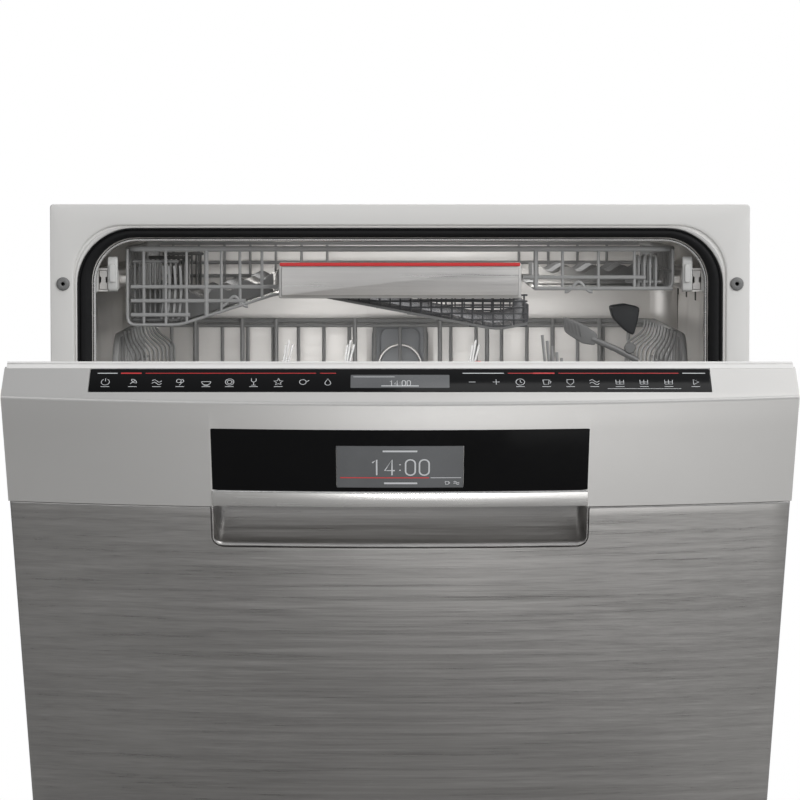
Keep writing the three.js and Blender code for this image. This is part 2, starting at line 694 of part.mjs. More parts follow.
// ---- Third-level drawer ----
function drawer() {
  const w = drawerHalf;
  const { front, back, sheet } = DRAWER;
  const deep = drawerTop - DRAWER.deep;
  const walls = cut(
    block([-w, w], [front, back], [level, drawerTop]),
    block([WIRE - w, w - WIRE], [front + WIRE, back - WIRE], [level - 1, drawerTop + 1]),
  );
  const bend = SLOPE.flat - w;
  const slope = polygon(
    [-w, deep],
    [bend, deep],
    [-SLOPE.end, level],
    [-SLOPE.end, level + sheet],
    [bend - 2, deep + sheet],
    [-w, deep + sheet],
  );
  const right = block([SLOPE.right, w], [front, back], [level + sheet, level + 2 * sheet]);
  const leftWall = block([-w, WIRE - w], [front, back], [deep, level + 1]);
  const shelf = block([-SLOPE.end - 1, -SLOPE.shelf], [front, back], [level, level + sheet]);
  piece(
    "drawer_frame",
    join(walls, push("y", slope, front, back), leftWall, shelf, right, ...runners(drawerTop - DRAWER.rail, w)),
    wire,
  );
  const keel = level - MESH.sink;
  const { left, wall } = MESH;
  const edge = MESH.right - CLEAR;
  const trough = polygon(
    [-left, level],
    [MESH.keel, keel],
    [edge, keel + MESH.drop + 1.5],
    [edge, level - MESH.drop],
    [MESH.right - wall, level - MESH.drop],
    [MESH.right - wall, level - MESH.rise + 2],
    [MESH.keel, keel + wall],
    [-left, level + wall],
  );
  piece("mesh_tray", push("y", trough, front + WIRE + CLEAR, back - WIRE - CLEAR), darkMesh);
  const rise = [drawerTop - HANDLE.below, drawerTop - HANDLE.above];
  piece("drawer_handle", block([-HANDLE.half, HANDLE.half], [front - HANDLE.proud, front - CLEAR], rise), brushed);
}

// ---- Middle basket ----
// A row of bars that folds on one wire: bars stand on a spindle that lies along y.
const comb = (x, { front, back, floor }, height) => {
  const bar = [x - TINES.half, x + TINES.half];
  const z = floor + WIRE + TINES.turning + CLEAR;
  const [from, to] = [front + TINES.end, back - TINES.end];
  const width = 2 * TINES.half;
  const pitch = (to - from - width) / (TINES.count - 1);
  const bars = Array.from({ length: TINES.count }, (_, i) =>
    block(bar, [from + i * pitch, from + i * pitch + width], [z, z + height]),
  );
  return join(block(bar, [from, to], [z - TINES.half, z + TINES.half]), ...bars);
};
function middleBasket() {
  const hung = runners(middle.top - BASKET.rail, middle.half);
  piece("middle_basket", join(openBasket(middle, BASKET.dip), ...hung), wire);
  const shelfFoot = middle.top - CUP_SHELF.below;
  const shelfOut = middle.half - WIRE - CUP_SHELF.gap;
  for (const [name, sign] of both) {
    const shelf = side(sign, shelfOut - WIRE, shelfOut);
    const rise = [shelfFoot, shelfFoot + CUP_SHELF.width];
    piece(`cup_shelf_${name}`, block(shelf, [CUP_SHELF.from, CUP_SHELF.to], rise), wire);
  }
  piece("middle_tines", comb(TINES.x, middle, TINES.height), wire);
}

// ---- Spray arms: two blades on a hub ----
const sprayArm = (z) => {
  const { y, thick, tip, end, belly, root, cut: nose } = ARM;
  const reach = armReach - tip;
  const outline = new THREE.Shape();
  outline.moveTo(-reach, y - nose);
  outline.quadraticCurveTo(-60, y - belly, 0, y - root);
  outline.quadraticCurveTo(60, y - belly, reach, y - end);
  outline.quadraticCurveTo(armReach, y, reach, y + nose);
  outline.quadraticCurveTo(60, y + belly, 0, y + root);
  outline.quadraticCurveTo(-60, y + belly, -reach, y + end);
  outline.quadraticCurveTo(-armReach, y, -reach, y - nose);
  return push("z", outline, z, z + thick, 6);
};
function sprayArms() {
  const lowerZ = TUB_FLOOR + HUB.rise + CLEAR;
  const lowerHub = rod("z", 0, ARM.y, HUB.lower, lowerZ, lowerZ + HUB.lowerHeight);
  piece("lower_spray_arm", join(sprayArm(lowerZ), lowerHub), grey);
  const middleHub = rod("z", 0, ARM.y, HUB.middle, armMiddleZ, middle.floor - CLEAR);
  piece("middle_spray_arm", join(sprayArm(armMiddleZ), middleHub), grey);
}

// ---- Lower basket ----
function lowerBasket() {
  const { radius, width, hub, stub, axle, play } = WHEEL;
  const wheelZ = TUB_FLOOR + WHEEL.lift + radius;
  const carrier = (sign, y) =>
    join(
      block(side(sign, lower.half - WIRE, lower.half), [y - stub, y + stub], [wheelZ - stub, lower.floor + 2]),
      rod("x", y, wheelZ, hub, ...side(sign, lower.half - 2, lower.half + axle)),
    );
  const places = both.flatMap(([name, sign]) => [
    [`wheel_front_${name}`, sign, WHEEL.front],
    [`wheel_rear_${name}`, sign, WHEEL.back],
  ]);
  const carriers = places.map(([, sign, y]) => carrier(sign, y));
  piece("lower_basket", join(openBasket(lower, LOWER.dip), ...carriers), wire);
  for (const [name, sign, y] of places) {
    const tread = side(sign, lower.half + CLEAR, lower.half + CLEAR + width);
    const bore = side(sign, lower.half - 5, lower.half + 20);
    piece(name, cut(rod("x", y, wheelZ, radius, ...tread), rod("x", y, wheelZ, hub + play, ...bore)), grey);
  }
  piece("lower_tines", comb(TINES.lowerX, lower, TINES.lowerHeight), wire);
}

cabinet();
base();
tub();
hinges();
doorFront();
doorBack();
rails("upper", drawerTop - DRAWER.rail);
rails("middle", middle.top - BASKET.rail);
drawer();
middleBasket();
sprayArms();
lowerBasket();

// The frame's origin is the middle of the footprint, so the machine moves to stand centred in y.
const bounds = new THREE.Box3().setFromObject(machine, true);
machine.position.y = -(bounds.min.y + bounds.max.y) / 2;
const group = new THREE.Group();
group.add(machine);
export default group;
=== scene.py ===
"""A built-in dishwasher standing with its door ajar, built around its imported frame.

Lengths are in millimetres until a shape is placed. Cabinet pieces use (x, y, z) with y = 0 on the
front flange, and door pieces use (x, w, u): w in front of the hinge axis, u above it.
"""

import json
import math

import bmesh
import bpy
import numpy as np
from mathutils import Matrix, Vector


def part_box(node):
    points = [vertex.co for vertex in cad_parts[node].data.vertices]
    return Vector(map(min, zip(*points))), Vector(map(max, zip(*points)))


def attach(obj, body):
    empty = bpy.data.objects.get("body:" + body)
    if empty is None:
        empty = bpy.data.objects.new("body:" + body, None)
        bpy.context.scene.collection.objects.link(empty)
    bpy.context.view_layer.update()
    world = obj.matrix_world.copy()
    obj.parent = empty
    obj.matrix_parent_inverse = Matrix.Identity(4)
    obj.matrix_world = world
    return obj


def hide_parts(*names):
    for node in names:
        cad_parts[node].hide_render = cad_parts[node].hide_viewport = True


bl_info = {
    "name": "Built-in dishwasher",
    "version": (1, 0, 0),
    "blender": (4, 5, 0),
    "location": "3D View > Sidebar > Dishwasher",
    "description": "Builds a dishwasher's doors, racks, tub and works around its frame",
    "category": "Object",
}

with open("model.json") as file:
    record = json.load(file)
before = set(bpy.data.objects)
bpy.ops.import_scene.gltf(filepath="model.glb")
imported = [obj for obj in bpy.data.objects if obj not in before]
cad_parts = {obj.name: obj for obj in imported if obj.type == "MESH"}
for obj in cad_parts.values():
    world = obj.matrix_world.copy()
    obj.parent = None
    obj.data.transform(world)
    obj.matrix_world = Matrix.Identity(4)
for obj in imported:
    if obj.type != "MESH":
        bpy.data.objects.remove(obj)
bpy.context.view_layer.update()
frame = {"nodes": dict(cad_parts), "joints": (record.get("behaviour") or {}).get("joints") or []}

# ---- The frame's own measures ----
MM = 0.001
JOINTS = {joint["name"]: joint for joint in frame["joints"]}
DOOR_OPEN = math.radians(-JOINTS["door_hinge"]["range_deg"][0])
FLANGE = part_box("front_frame")[0].y / MM
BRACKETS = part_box("hinge_bracket_left")
HINGE_Z = (BRACKETS[0].z + 10 * MM) / MM


def vertices(node):
    """The node's vertices in millimetres."""
    mesh = frame["nodes"][node].data
    points = np.empty(3 * len(mesh.vertices))
    mesh.vertices.foreach_get("co", points)
    return points.reshape(-1, 3) / MM


def span(node):
    """Lowest and highest corners of a cabinet node, with y counted back from the flange."""
    points = vertices(node) - (0, FLANGE, 0)
    return points.min(0), points.max(0)


def door_span(node):
    """Lowest and highest (x, w, u) of a node on the door."""
    x, y, z = (vertices(node) - (0, FLANGE, HINGE_Z)).T
    sine, cosine = math.sin(DOOR_OPEN), math.cos(DOOR_OPEN)
    points = np.stack([x, -y * cosine - z * sine, -y * sine + z * cosine], -1)
    return points.min(0), points.max(0)


def place_cabinet(points):
    """Millimetres from the flange to metres in the frame."""
    return (points + (0, FLANGE, 0)) * MM


def place_door(points):
    """(x, w, u) turned about the hinge axis: y = -u sin a - w cos a, z = u cos a - w sin a."""
    x, w, u = np.moveaxis(points, -1, 0)
    sine, cosine = math.sin(DOOR_OPEN), math.cos(DOOR_OPEN)
    y = FLANGE - u * sine - w * cosine
    z = HINGE_Z + u * cosine - w * sine
    return np.stack([x, y, z], -1) * MM


FRONT_LOW, FRONT_HIGH = span("front_frame")
TUB_LOW, TUB_HIGH = span("tub_shell")
CONSOLE_LOW, CONSOLE_HIGH = door_span("console")
KEYS_LOW, KEYS_HIGH = door_span("control_glass")
SCREEN_LOW, SCREEN_HIGH = door_span("screen")
WINDOW_LOW, WINDOW_HIGH = door_span("display_glass")
TRIM_LOW, TRIM_HIGH = door_span("trim_strip")
PANEL_LOW, PANEL_HIGH = door_span("door_panel")
GRIP_LOW, GRIP_HIGH = door_span("grip_cup")
LINER_LOW, LINER_HIGH = door_span("door_liner")


# ---- Sizes and colours a user may change ----
def length(name, description, default):
    return bpy.props.FloatProperty(
        name=name, description=description, default=default * MM, min=0.0, unit="LENGTH", precision=4
    )


def colour(name, description, default):
    return bpy.props.FloatVectorProperty(
        name=name, description=description, default=default, min=0.0, max=1.0, subtype="COLOR", size=3
    )


class DishwasherSizes(bpy.types.PropertyGroup):
    rim_wire: length("Rim wire", "Radius of the wire round each rack's rim", 2.5)
    rack_wire: length("Rack wire", "Radius of the wires that fill a rack", 1.75)
    fine_wire: length("Fine wire", "Radius of the tines and small wires", 1.35)
    bow: length("Door bow", "How far the middle of the door front stands out more than its ends", 9.1)


class DishwasherColours(bpy.types.PropertyGroup):
    console: colour("Console", "Satin painted console", (0.56, 0.55, 0.535))
    steel: colour("Brushed steel", "Door panel, grip and drawer handle", (0.40, 0.39, 0.38))
    strips: colour("Front strips", "Painted strips beside the door opening", (0.70, 0.69, 0.67))
    wire: colour("Rack coating", "Coating of the rack wires", (0.33, 0.33, 0.327))
    accent: colour("Accent", "Thin coloured lines and clips", (0.62, 0.028, 0.03))
    marks: colour("Marks", "Printed icons on the glass", (0.62, 0.63, 0.64))


# ---- Shapes ----
class Shape:
    """Points in millimetres and the faces between them, gathered before they become a mesh."""

    def __init__(self):
        self.points, self.faces, self.count = [], [], 0

    def add(self, points, faces):
        points = np.asarray(points, float).reshape(-1, 3)
        self.faces.extend((np.asarray(faces) + self.count).tolist())
        self.points.append(points)
        self.count += len(points)

    def grid(self, points, around=False, along=False, keep=None):
        """Quads over an (m, n, 3) grid: [i, j] joins [i, j + 1] and [i + 1, j], round the ends if asked."""
        m, n = points.shape[:2]
        index = np.arange(m * n).reshape(m, n)
        if along:
            index = np.vstack([index, index[:1]])
        if around:
            index = np.hstack([index, index[:, :1]])
        quads = np.stack([index[:-1, :-1], index[:-1, 1:], index[1:, 1:], index[1:, :-1]], -1)
        self.add(points, quads[keep] if keep is not None else quads.reshape(-1, 4))

    def cap(self, ring):
        self.add(ring, [np.arange(len(ring))])

    def loft(self, rings):
        """A closed skin through rings of points, shut by the first and last ring."""
        self.grid(rings, around=True)
        self.cap(rings[0])
        self.cap(rings[-1])


def arc(a, b, radius, start, end, steps=6):
    """Points at radius (cos t, sin t) about (a, b), t from start to end in degrees."""
    t = np.radians(np.linspace(start, end, steps + 1))
    return np.stack([a + radius * np.cos(t), b + radius * np.sin(t)], -1)


def fillet(points, radius, steps=4, closed=False):
    """A path whose corners become quadratic curves that start and end radius away from each corner."""
    points = np.asarray(points, float)
    before, after = np.roll(points, 1, 0), np.roll(points, -1, 0)
    lengths = [np.linalg.norm(other - points, axis=-1, keepdims=True) for other in (before, after)]
    reach = [np.minimum(radius, 0.49 * size) / np.maximum(size, 1e-9) for size in lengths]
    start = points + (before - points) * reach[0]
    end = points + (after - points) * reach[1]
    t = np.linspace(0, 1, steps + 1)[None, :, None]
    curves = (1 - t) ** 2 * start[:, None] + 2 * t * (1 - t) * points[:, None] + t**2 * end[:, None]
    if closed:
        return curves.reshape(-1, points.shape[1])
    middle = curves[1:-1].reshape(-1, points.shape[1])
    return np.concatenate([points[:1], middle, points[-1:]])


def rounded(a0, a1, b0, b1, radius, steps=4):
    """A rectangle from (a0, b0) to (a1, b1) with quarter circles at its corners."""
    corners = ((a1, b0, -90, -1, 1), (a1, b1, 0, -1, -1), (a0, b1, 90, 1, -1), (a0, b0, 180, 1, 1))
    return np.concatenate(
        [arc(a + sa * radius, b + sb * radius, radius, t, t + 90, steps) for a, b, t, sa, sb in corners]
    )


def shrink(outline, distance):
    """The closed outline with each side moved in by distance, corners kept sharp."""
    side = np.roll(outline, -1, 0) - outline
    side = side / np.maximum(np.linalg.norm(side, axis=-1, keepdims=True), 1e-9)
    normal = np.stack([side[:, 1], -side[:, 0]], -1)
    previous = np.roll(normal, 1, 0)
    miter = (normal + previous) / (1 + np.sum(normal * previous, -1, keepdims=True)).clip(0.2)
    x, y = outline.T
    turn = np.sign(np.sum(x * np.roll(y, -1) - np.roll(x, -1) * y))
    return outline - turn * distance * miter


def to_axis(axis, outline, level):
    """An outline's two coordinates and a level along x, y or z, as points."""
    a, b = outline.T
    level = np.full_like(a, level)
    return np.stack({"x": (level, a, b), "y": (a, level, b), "z": (a, b, level)}[axis], -1)


def slab(shape, axis, outline, low, high, edge=0.0, steps=3):
    """An outline pushed along an axis.

    Its rims are quarter circles: depth edge (1 - cos t), inset edge (1 - sin t).
    """
    if edge:
        t = np.linspace(0, math.pi / 2, steps + 1)
        depth, inset = edge * (1 - np.cos(t)), edge * (1 - np.sin(t))
        levels = np.concatenate([low + depth, high - depth[::-1]])
        insets = np.concatenate([inset, inset[::-1]])
    else:
        levels, insets = np.array([low, high]), np.zeros(2)
    rings = [to_axis(axis, shrink(outline, inset), level) for level, inset in zip(levels, insets)]
    shape.loft(np.stack(rings))


def pad(shape, low, high, edge=1.0, corner=2.0, axis="z", steps=3):
    """A box between two corners with round rims across the axis and round corners along it."""
    keep = {"x": (1, 2), "y": (0, 2), "z": (0, 1)}[axis]
    level = "xyz".index(axis)
    a, b = keep
    corner = min(corner, 0.49 * (high[a] - low[a]), 0.49 * (high[b] - low[b]))
    outline = rounded(low[a], high[a], low[b], high[b], corner)
    slab(shape, axis, outline, low[level], high[level], min(edge, 0.45 * (high[level] - low[level])), steps)


def turned(shape, axis, centre, profile, steps=32):
    """A profile of (radius, level) turned round an axis through centre."""
    profile = np.asarray(profile, float)
    t = np.linspace(0, 2 * math.pi, steps, endpoint=False)
    radius, level = profile[:, :1], np.broadcast_to(profile[:, 1:], (len(profile), steps))
    a, b = centre[0] + radius * np.cos(t), centre[1] + radius * np.sin(t)
    order = {"x": (level, a, b), "y": (a, level, b), "z": (a, b, level)}[axis]
    shape.grid(np.stack(order, -1), around=True)


def rails_of(path, up, closed):
    """Side and rise of a section carried along a path: side = direction x up, rise = side x direction."""
    after, before = np.roll(path, -1, 0), np.roll(path, 1, 0)
    if not closed:
        after[-1], before[0] = path[-1], path[0]
    direction = after - before
    direction /= np.maximum(np.linalg.norm(direction, axis=-1, keepdims=True), 1e-9)
    side = np.cross(direction, np.asarray(up, float))
    side /= np.maximum(np.linalg.norm(side, axis=-1, keepdims=True), 1e-9)
    return side, np.cross(side, direction)


def swept(shape, path, section, up=(0, 0, 1), closed=False):
    """A closed section of (side, rise) points carried along a path, with flat ends."""
    path = np.asarray(path, float)
    side, rise = rails_of(path, up, closed)
    section = np.asarray(section, float)
    rings = path[:, None] + side[:, None] * section[:, :1] + rise[:, None] * section[:, 1:]
    shape.grid(rings, around=True, along=closed)
    if not closed:
        shape.cap(rings[0])
        shape.cap(rings[-1])


def wire(shape, path, radius, up=(0, 0, 1), closed=False, sides=8):
    """A round wire: the section is a circle."""
    t = np.linspace(0, 2 * math.pi, sides, endpoint=False)
    swept(shape, path, radius * np.stack([np.cos(t), np.sin(t)], -1), up, closed)


def ribbon(shape, path, width, thick, up, closed=False):
    """A flat strip of the given width, thick along up."""
    w, h = width / 2, thick / 2
    swept(shape, path, [(-w, -h), (w, -h), (w, h), (-w, h)], up, closed)


def ease(t):
    """0 below 0, 1 above 1, and 3 t^2 - 2 t^3 between."""
    t = np.clip(t, 0, 1)
    return t * t * (3 - 2 * t)


# ---- From shapes to objects ----
ON_DOOR = ("door", "latch", "dispenser_lid", "rinse_cap")


def make(name, shape, finish, body, replaces=(), bevel=0.0, wall=0.0, smooth=35.0):
    """Places a shape, merges its seams, turns its faces out and rides it on a body.

    Its material is the finish of that name.
    """
    place = place_door if body in ON_DOOR else place_cabinet
    mesh = bpy.data.meshes.new(name)
    mesh.from_pydata(place(np.concatenate(shape.points)), [], shape.faces)
    work = bmesh.new()
    work.from_mesh(mesh)
    bmesh.ops.remove_doubles(work, verts=work.verts, dist=2e-6)
    bmesh.ops.dissolve_degenerate(work, dist=1e-6, edges=work.edges)
    bmesh.ops.recalc_face_normals(work, faces=work.faces)
    work.to_mesh(mesh)
    work.free()
    mesh.shade_smooth()
    mesh.set_sharp_from_angle(angle=math.radians(smooth))
    mesh.materials.append(use(finish))
    piece = bpy.data.objects.new(name, mesh)
    bpy.context.scene.collection.objects.link(piece)
    if wall:
        solid = piece.modifiers.new("Wall", "SOLIDIFY")
        solid.thickness, solid.offset = abs(wall) * MM, math.copysign(1, wall)
        solid.use_even_offset = True
    if bevel:
        rim = piece.modifiers.new("Edge", "BEVEL")
        rim.width, rim.segments, rim.limit_method = bevel * MM, 2, "ANGLE"
        rim.angle_limit = math.radians(40)
        rim.harden_normals = True
    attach(piece, body)
    if replaces:
        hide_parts(*replaces)
    return piece


def repaint(node, finish):
    """Gives a frame node its finish."""
    mesh = frame["nodes"][node].data
    mesh.materials.clear()
    mesh.materials.append(use(finish))


# ---- Shader groups ----
def group(name, inputs, outputs):
    """A node group with named sockets, and its two end nodes."""
    tree = bpy.data.node_groups.new(name, "ShaderNodeTree")
    for direction, sockets in (("INPUT", inputs), ("OUTPUT", outputs)):
        for label, kind, *default in sockets:
            socket = tree.interface.new_socket(name=label, in_out=direction, socket_type=f"NodeSocket{kind}")
            if default:
                socket.default_value = default[0]
    return tree, tree.nodes.new("NodeGroupInput").outputs, tree.nodes.new("NodeGroupOutput").inputs


def node(tree, kind, values=(), **settings):
    """A node with its settings, and values for its sockets by name or number."""
    made = tree.nodes.new(f"ShaderNode{kind}")
    for key, value in settings.items():
        setattr(made, key, value)
    for key, value in dict(values).items():
        if isinstance(value, bpy.types.NodeSocket):
            tree.links.new(value, made.inputs[key])
        else:
            made.inputs[key].default_value = value
    return made


def grain_group():
    """Noise stretched along one direction: fine lines for a brushed sheet, or even speckle for a moulding."""
    tree, given, result = group(
        "Grain",
        [("Vector", "Vector"), ("Stretch", "Vector", (1, 1, 1)), ("Fineness", "Float", 400.0)],
        [("Shade", "Float"), ("Height", "Float")],
    )
    stretched = node(tree, "VectorMath", {0: given["Vector"], 1: given["Stretch"]}, operation="MULTIPLY")
    fine = node(tree, "TexNoise", {"Vector": stretched.outputs[0], "Scale": given["Fineness"], "Detail": 4.0})
    coarse_scale = node(tree, "Math", {0: given["Fineness"], 1: 0.17}, operation="MULTIPLY")
    coarse = node(
        tree, "TexNoise", {"Vector": stretched.outputs[0], "Scale": coarse_scale.outputs[0], "Detail": 2.0}
    )
    shade = node(tree, "Math", {0: fine.outputs[0], 1: coarse.outputs[0]}, operation="ADD")
    half = node(tree, "Math", {0: shade.outputs[0], 1: 0.5}, operation="MULTIPLY")
    tree.links.new(half.outputs[0], result["Shade"])
    tree.links.new(fine.outputs[0], result["Height"])
    return tree


def drift_group():
    """Slow cloudy change between two near colours."""
    tree, given, result = group(
        "Drift",
        [("Vector", "Vector"), ("Size", "Float", 4.0), ("Deep", "Color"), ("Light", "Color")],
        [("Color", "Color"), ("Mask", "Float")],
    )
    cloud = node(tree, "TexNoise", {"Vector": given["Vector"], "Scale": given["Size"], "Detail": 3.0})
    mask = node(tree, "MapRange", {"Value": cloud.outputs[0], "From Min": 0.35, "From Max": 0.65})
    mixed = node(tree, "Mix", {0: mask.outputs[0], 6: given["Deep"], 7: given["Light"]}, data_type="RGBA")
    tree.links.new(mixed.outputs[2], result["Color"])
    tree.links.new(mask.outputs[0], result["Mask"])
    return tree


def rubbed_group():
    """Edges rubbed paler: the sharpness of the surface, broken up by noise."""
    tree, given, result = group(
        "Rubbed edges",
        [("Vector", "Vector"), ("Color", "Color"), ("Rubbed", "Color"), ("Amount", "Float", 0.3)],
        [("Color", "Color")],
    )
    sharp = node(tree, "NewGeometry")
    edge = node(
        tree, "MapRange", {"Value": sharp.outputs["Pointiness"], "From Min": 0.52, "From Max": 0.62}
    )
    patch = node(tree, "TexNoise", {"Vector": given["Vector"], "Scale": 60.0, "Detail": 3.0})
    broken = node(tree, "Math", {0: edge.outputs[0], 1: patch.outputs[0]}, operation="MULTIPLY")
    share = node(tree, "Math", {0: broken.outputs[0], 1: given["Amount"]}, operation="MULTIPLY",
                 use_clamp=True)
    mixed = node(tree, "Mix", {0: share.outputs[0], 6: given["Color"], 7: given["Rubbed"]}, data_type="RGBA")
    tree.links.new(mixed.outputs[2], result["Color"])
    return tree


GROUPS = {}


def placed(tree, maker, values):
    """The shared group, built on first use, as a node of this material."""
    if maker not in GROUPS:
        GROUPS[maker] = maker()
    made = tree.nodes.new("ShaderNodeGroup")
    made.node_tree = GROUPS[maker]
    for key, value in values.items():
        if isinstance(value, bpy.types.NodeSocket):
            tree.links.new(value, made.inputs[key])
        else:
            made.inputs[key].default_value = value
    return made


def rgba(rgb, factor=1.0):
    return tuple(min(1.0, c * factor) for c in rgb) + (1.0,)


def finish(
    name, rgb, rough, metal=0.0, drift=0.05, drift_size=6.0, stretch=(1, 1, 1), fineness=900.0,
    spread=0.05, bump=0.05, rubbed=0.0, streak=0.0, **uniform
):
    """A surface whose colour drifts, whose roughness follows its grain and whose edges may be rubbed."""
    material = bpy.data.materials.new(name)
    material.use_nodes = True
    tree = material.node_tree
    surface = tree.nodes["Principled BSDF"]
    where = tree.nodes.new("ShaderNodeTexCoord").outputs["Object"]
    cloudy = placed(
        tree, drift_group,
        {"Vector": where, "Size": drift_size, "Deep": rgba(rgb, 1 - drift), "Light": rgba(rgb, 1 + drift)},
    )
    tint = cloudy.outputs["Color"]
    grain = placed(tree, grain_group, {"Vector": where, "Stretch": stretch, "Fineness": fineness})
    if streak:
        shade = node(
            tree, "MapRange",
            {"Value": grain.outputs["Shade"], "From Min": 0.3, "From Max": 0.7, "To Min": 1 - streak,
             "To Max": 1 + streak},
        )
        tint = node(
            tree, "VectorMath", {0: tint, 1: shade.outputs[0]}, operation="MULTIPLY"
        ).outputs[0]
    if rubbed:
        tint = placed(
            tree, rubbed_group, {"Vector": where, "Color": tint, "Rubbed": rgba(rgb, 1.5), "Amount": rubbed}
        ).outputs["Color"]
    tree.links.new(tint, surface.inputs["Base Color"])
    rough_map = node(
        tree, "MapRange",
        {"Value": grain.outputs["Shade"], "From Min": 0.3, "From Max": 0.7,
         "To Min": max(rough - spread, 0.02), "To Max": rough + spread},
    )
    tree.links.new(rough_map.outputs[0], surface.inputs["Roughness"])
    relief = node(tree, "Bump", {"Height": grain.outputs["Height"], "Strength": bump, "Distance": 0.0004})
    tree.links.new(relief.outputs[0], surface.inputs["Normal"])
    surface.inputs["Metallic"].default_value = metal
    for key, value in uniform.items():
        surface.inputs[key.replace("_", " ")].default_value = value
    return material


ALONG_X = (0.012, 1, 1)  # brushed lines that run across the machine


def build_finishes(paint):
    """Every finish of the dishwasher, by name."""
    steel = tuple(paint.steel)
    return {
        "stainless": finish("stainless", (0.74, 0.72, 0.695), 0.40, 0.72, drift=0.03, stretch=(0.05, 0.05, 1),
                            fineness=700, spread=0.05, bump=0.02, streak=0.02),
        "brushed": finish("brushed", steel, 0.36, 1.0, drift=0.04, stretch=ALONG_X, fineness=1300,
                          spread=0.12, bump=0.16, streak=0.16),
        "handle_steel": finish("handle_steel", tuple(1.25 * c for c in steel), 0.34, 1.0, drift=0.03,
                               stretch=ALONG_X, fineness=1500, spread=0.10, bump=0.12, streak=0.09),
        "console_silver": finish("console_silver", tuple(paint.console), 0.40, 0.55, drift=0.02,
                                 fineness=2600, spread=0.03, bump=0.03, rubbed=0.2),
        "frame_grey": finish("frame_grey", tuple(paint.strips), 0.48, 0.0, drift=0.015, fineness=2200,
                             spread=0.04, bump=0.04, rubbed=0.2),
        "black_glass": finish("black_glass", (0.004, 0.004, 0.0043), 0.10, 0.0, drift=0.2, fineness=300,
                              spread=0.03, bump=0.0, Specular_IOR_Level=0.08),
        "lcd": finish("lcd", (0.125, 0.128, 0.132), 0.25, 0.0, drift=0.06, drift_size=25, fineness=3000,
                      spread=0.04, bump=0.0, Specular_IOR_Level=0.2),
        "bright_trim": finish("bright_trim", (0.66, 0.65, 0.635), 0.24, 1.0, drift=0.02, stretch=ALONG_X,
                              fineness=1400, spread=0.06, bump=0.03),
        "seal_rubber": finish("seal_rubber", (0.006, 0.006, 0.0065), 0.62, 0.0, drift=0.25, fineness=1500,
                              spread=0.1, bump=0.15, rubbed=0.4, Specular_IOR_Level=0.2),
        "zinc_sheet": finish("zinc_sheet", (0.50, 0.52, 0.54), 0.42, 1.0, drift=0.13, drift_size=28,
                             fineness=90, spread=0.09, bump=0.03),
        "dark_plastic": finish("dark_plastic", (0.022, 0.023, 0.025), 0.5, 0.0, drift=0.15, fineness=2200,
                               spread=0.08, bump=0.12, rubbed=0.35),
        "grey_plastic": finish("grey_plastic", (0.17, 0.17, 0.168), 0.45, 0.0, drift=0.05, fineness=2200,
                               spread=0.07, bump=0.08, rubbed=0.3),
        "duct_plastic": finish("duct_plastic", (0.36, 0.37, 0.385), 0.42, 0.0, drift=0.04, fineness=2200,
                               spread=0.06, bump=0.06, rubbed=0.3),
        "mesh_plastic": finish("mesh_plastic", (0.075, 0.076, 0.08), 0.5, 0.0, drift=0.08, fineness=2200,
                               spread=0.07, bump=0.08, rubbed=0.3),
        "pale_plastic": finish("pale_plastic", (0.60, 0.60, 0.585), 0.38, 0.0, drift=0.03, fineness=2200,
                               spread=0.05, bump=0.06, rubbed=0.15),
        "rack_wire": finish("rack_wire", tuple(paint.wire), 0.36, 0.0, drift=0.05, drift_size=14,
                            fineness=1800, spread=0.07, bump=0.05, Specular_IOR_Level=0.6),
        "accent": finish("accent", tuple(paint.accent), 0.35, 0.0, drift=0.06, fineness=1500, spread=0.05,
                         bump=0.03),
        "print": finish("print", tuple(paint.marks), 0.5, 0.0, drift=0.03, fineness=1500, spread=0.05,
                        bump=0.0),
        "felt": finish("felt", (0.05, 0.047, 0.043), 0.95, 0.0, drift=0.35, drift_size=60, fineness=500,
                       spread=0.04, bump=0.5),
        "lamp_lens": lamp_lens(),
    }


def lamp_lens():
    """A small lit lens: an even warm-white glow over a finish whose colour drifts."""
    material = finish("lamp_lens", (0.8, 0.8, 0.8), 0.3, 0.0, fineness=1200)
    surface = material.node_tree.nodes["Principled BSDF"]
    surface.inputs["Emission Strength"].default_value = 6.0
    surface.inputs["Emission Color"].default_value = (1.0, 0.98, 0.94, 1.0)
    return material


FINISHES = {}


def use(name):
    """The finish of that name, all of them being made at the first call."""
    if not FINISHES:
        FINISHES.update(build_finishes(bpy.context.scene.dishwasher_colours))
    return FINISHES[name]


# ---- The door ----
DOOR_HALF = CONSOLE_HIGH[0]
DOOR_TOP = CONSOLE_HIGH[2]
DOOR_BACK = CONSOLE_LOW[1]
FRONT_END = CONSOLE_HIGH[1]  # where the bowed front stands out most


def bow(x, sizes):
    """How far the front stands before the hinge axis: a parabola, most at the middle and less at the ends."""
    return FRONT_END - sizes.bow / MM * (x / DOOR_HALF) ** 2


def stations(*stops, step=12.0):
    """Places along x: evenly spaced between the stops, with every stop kept."""
    stops = sorted({round(float(s), 4) for stop in stops for s in (stop, -stop)})
    parts = [np.linspace(a, b, max(2, int((b - a) / step) + 1))[:-1] for a, b in zip(stops, stops[1:])]
    return np.concatenate([*parts, stops[-1:]])


def across(x, profile, sizes):
    """Rings of (x, w, u), one per place along x: a profile point is (share of the bowed front, w, u)."""
    rows = [np.stack(np.broadcast_arrays(x, share * bow(x, sizes) + w, u), -1) for share, w, u in profile]
    return np.stack(rows, 1)


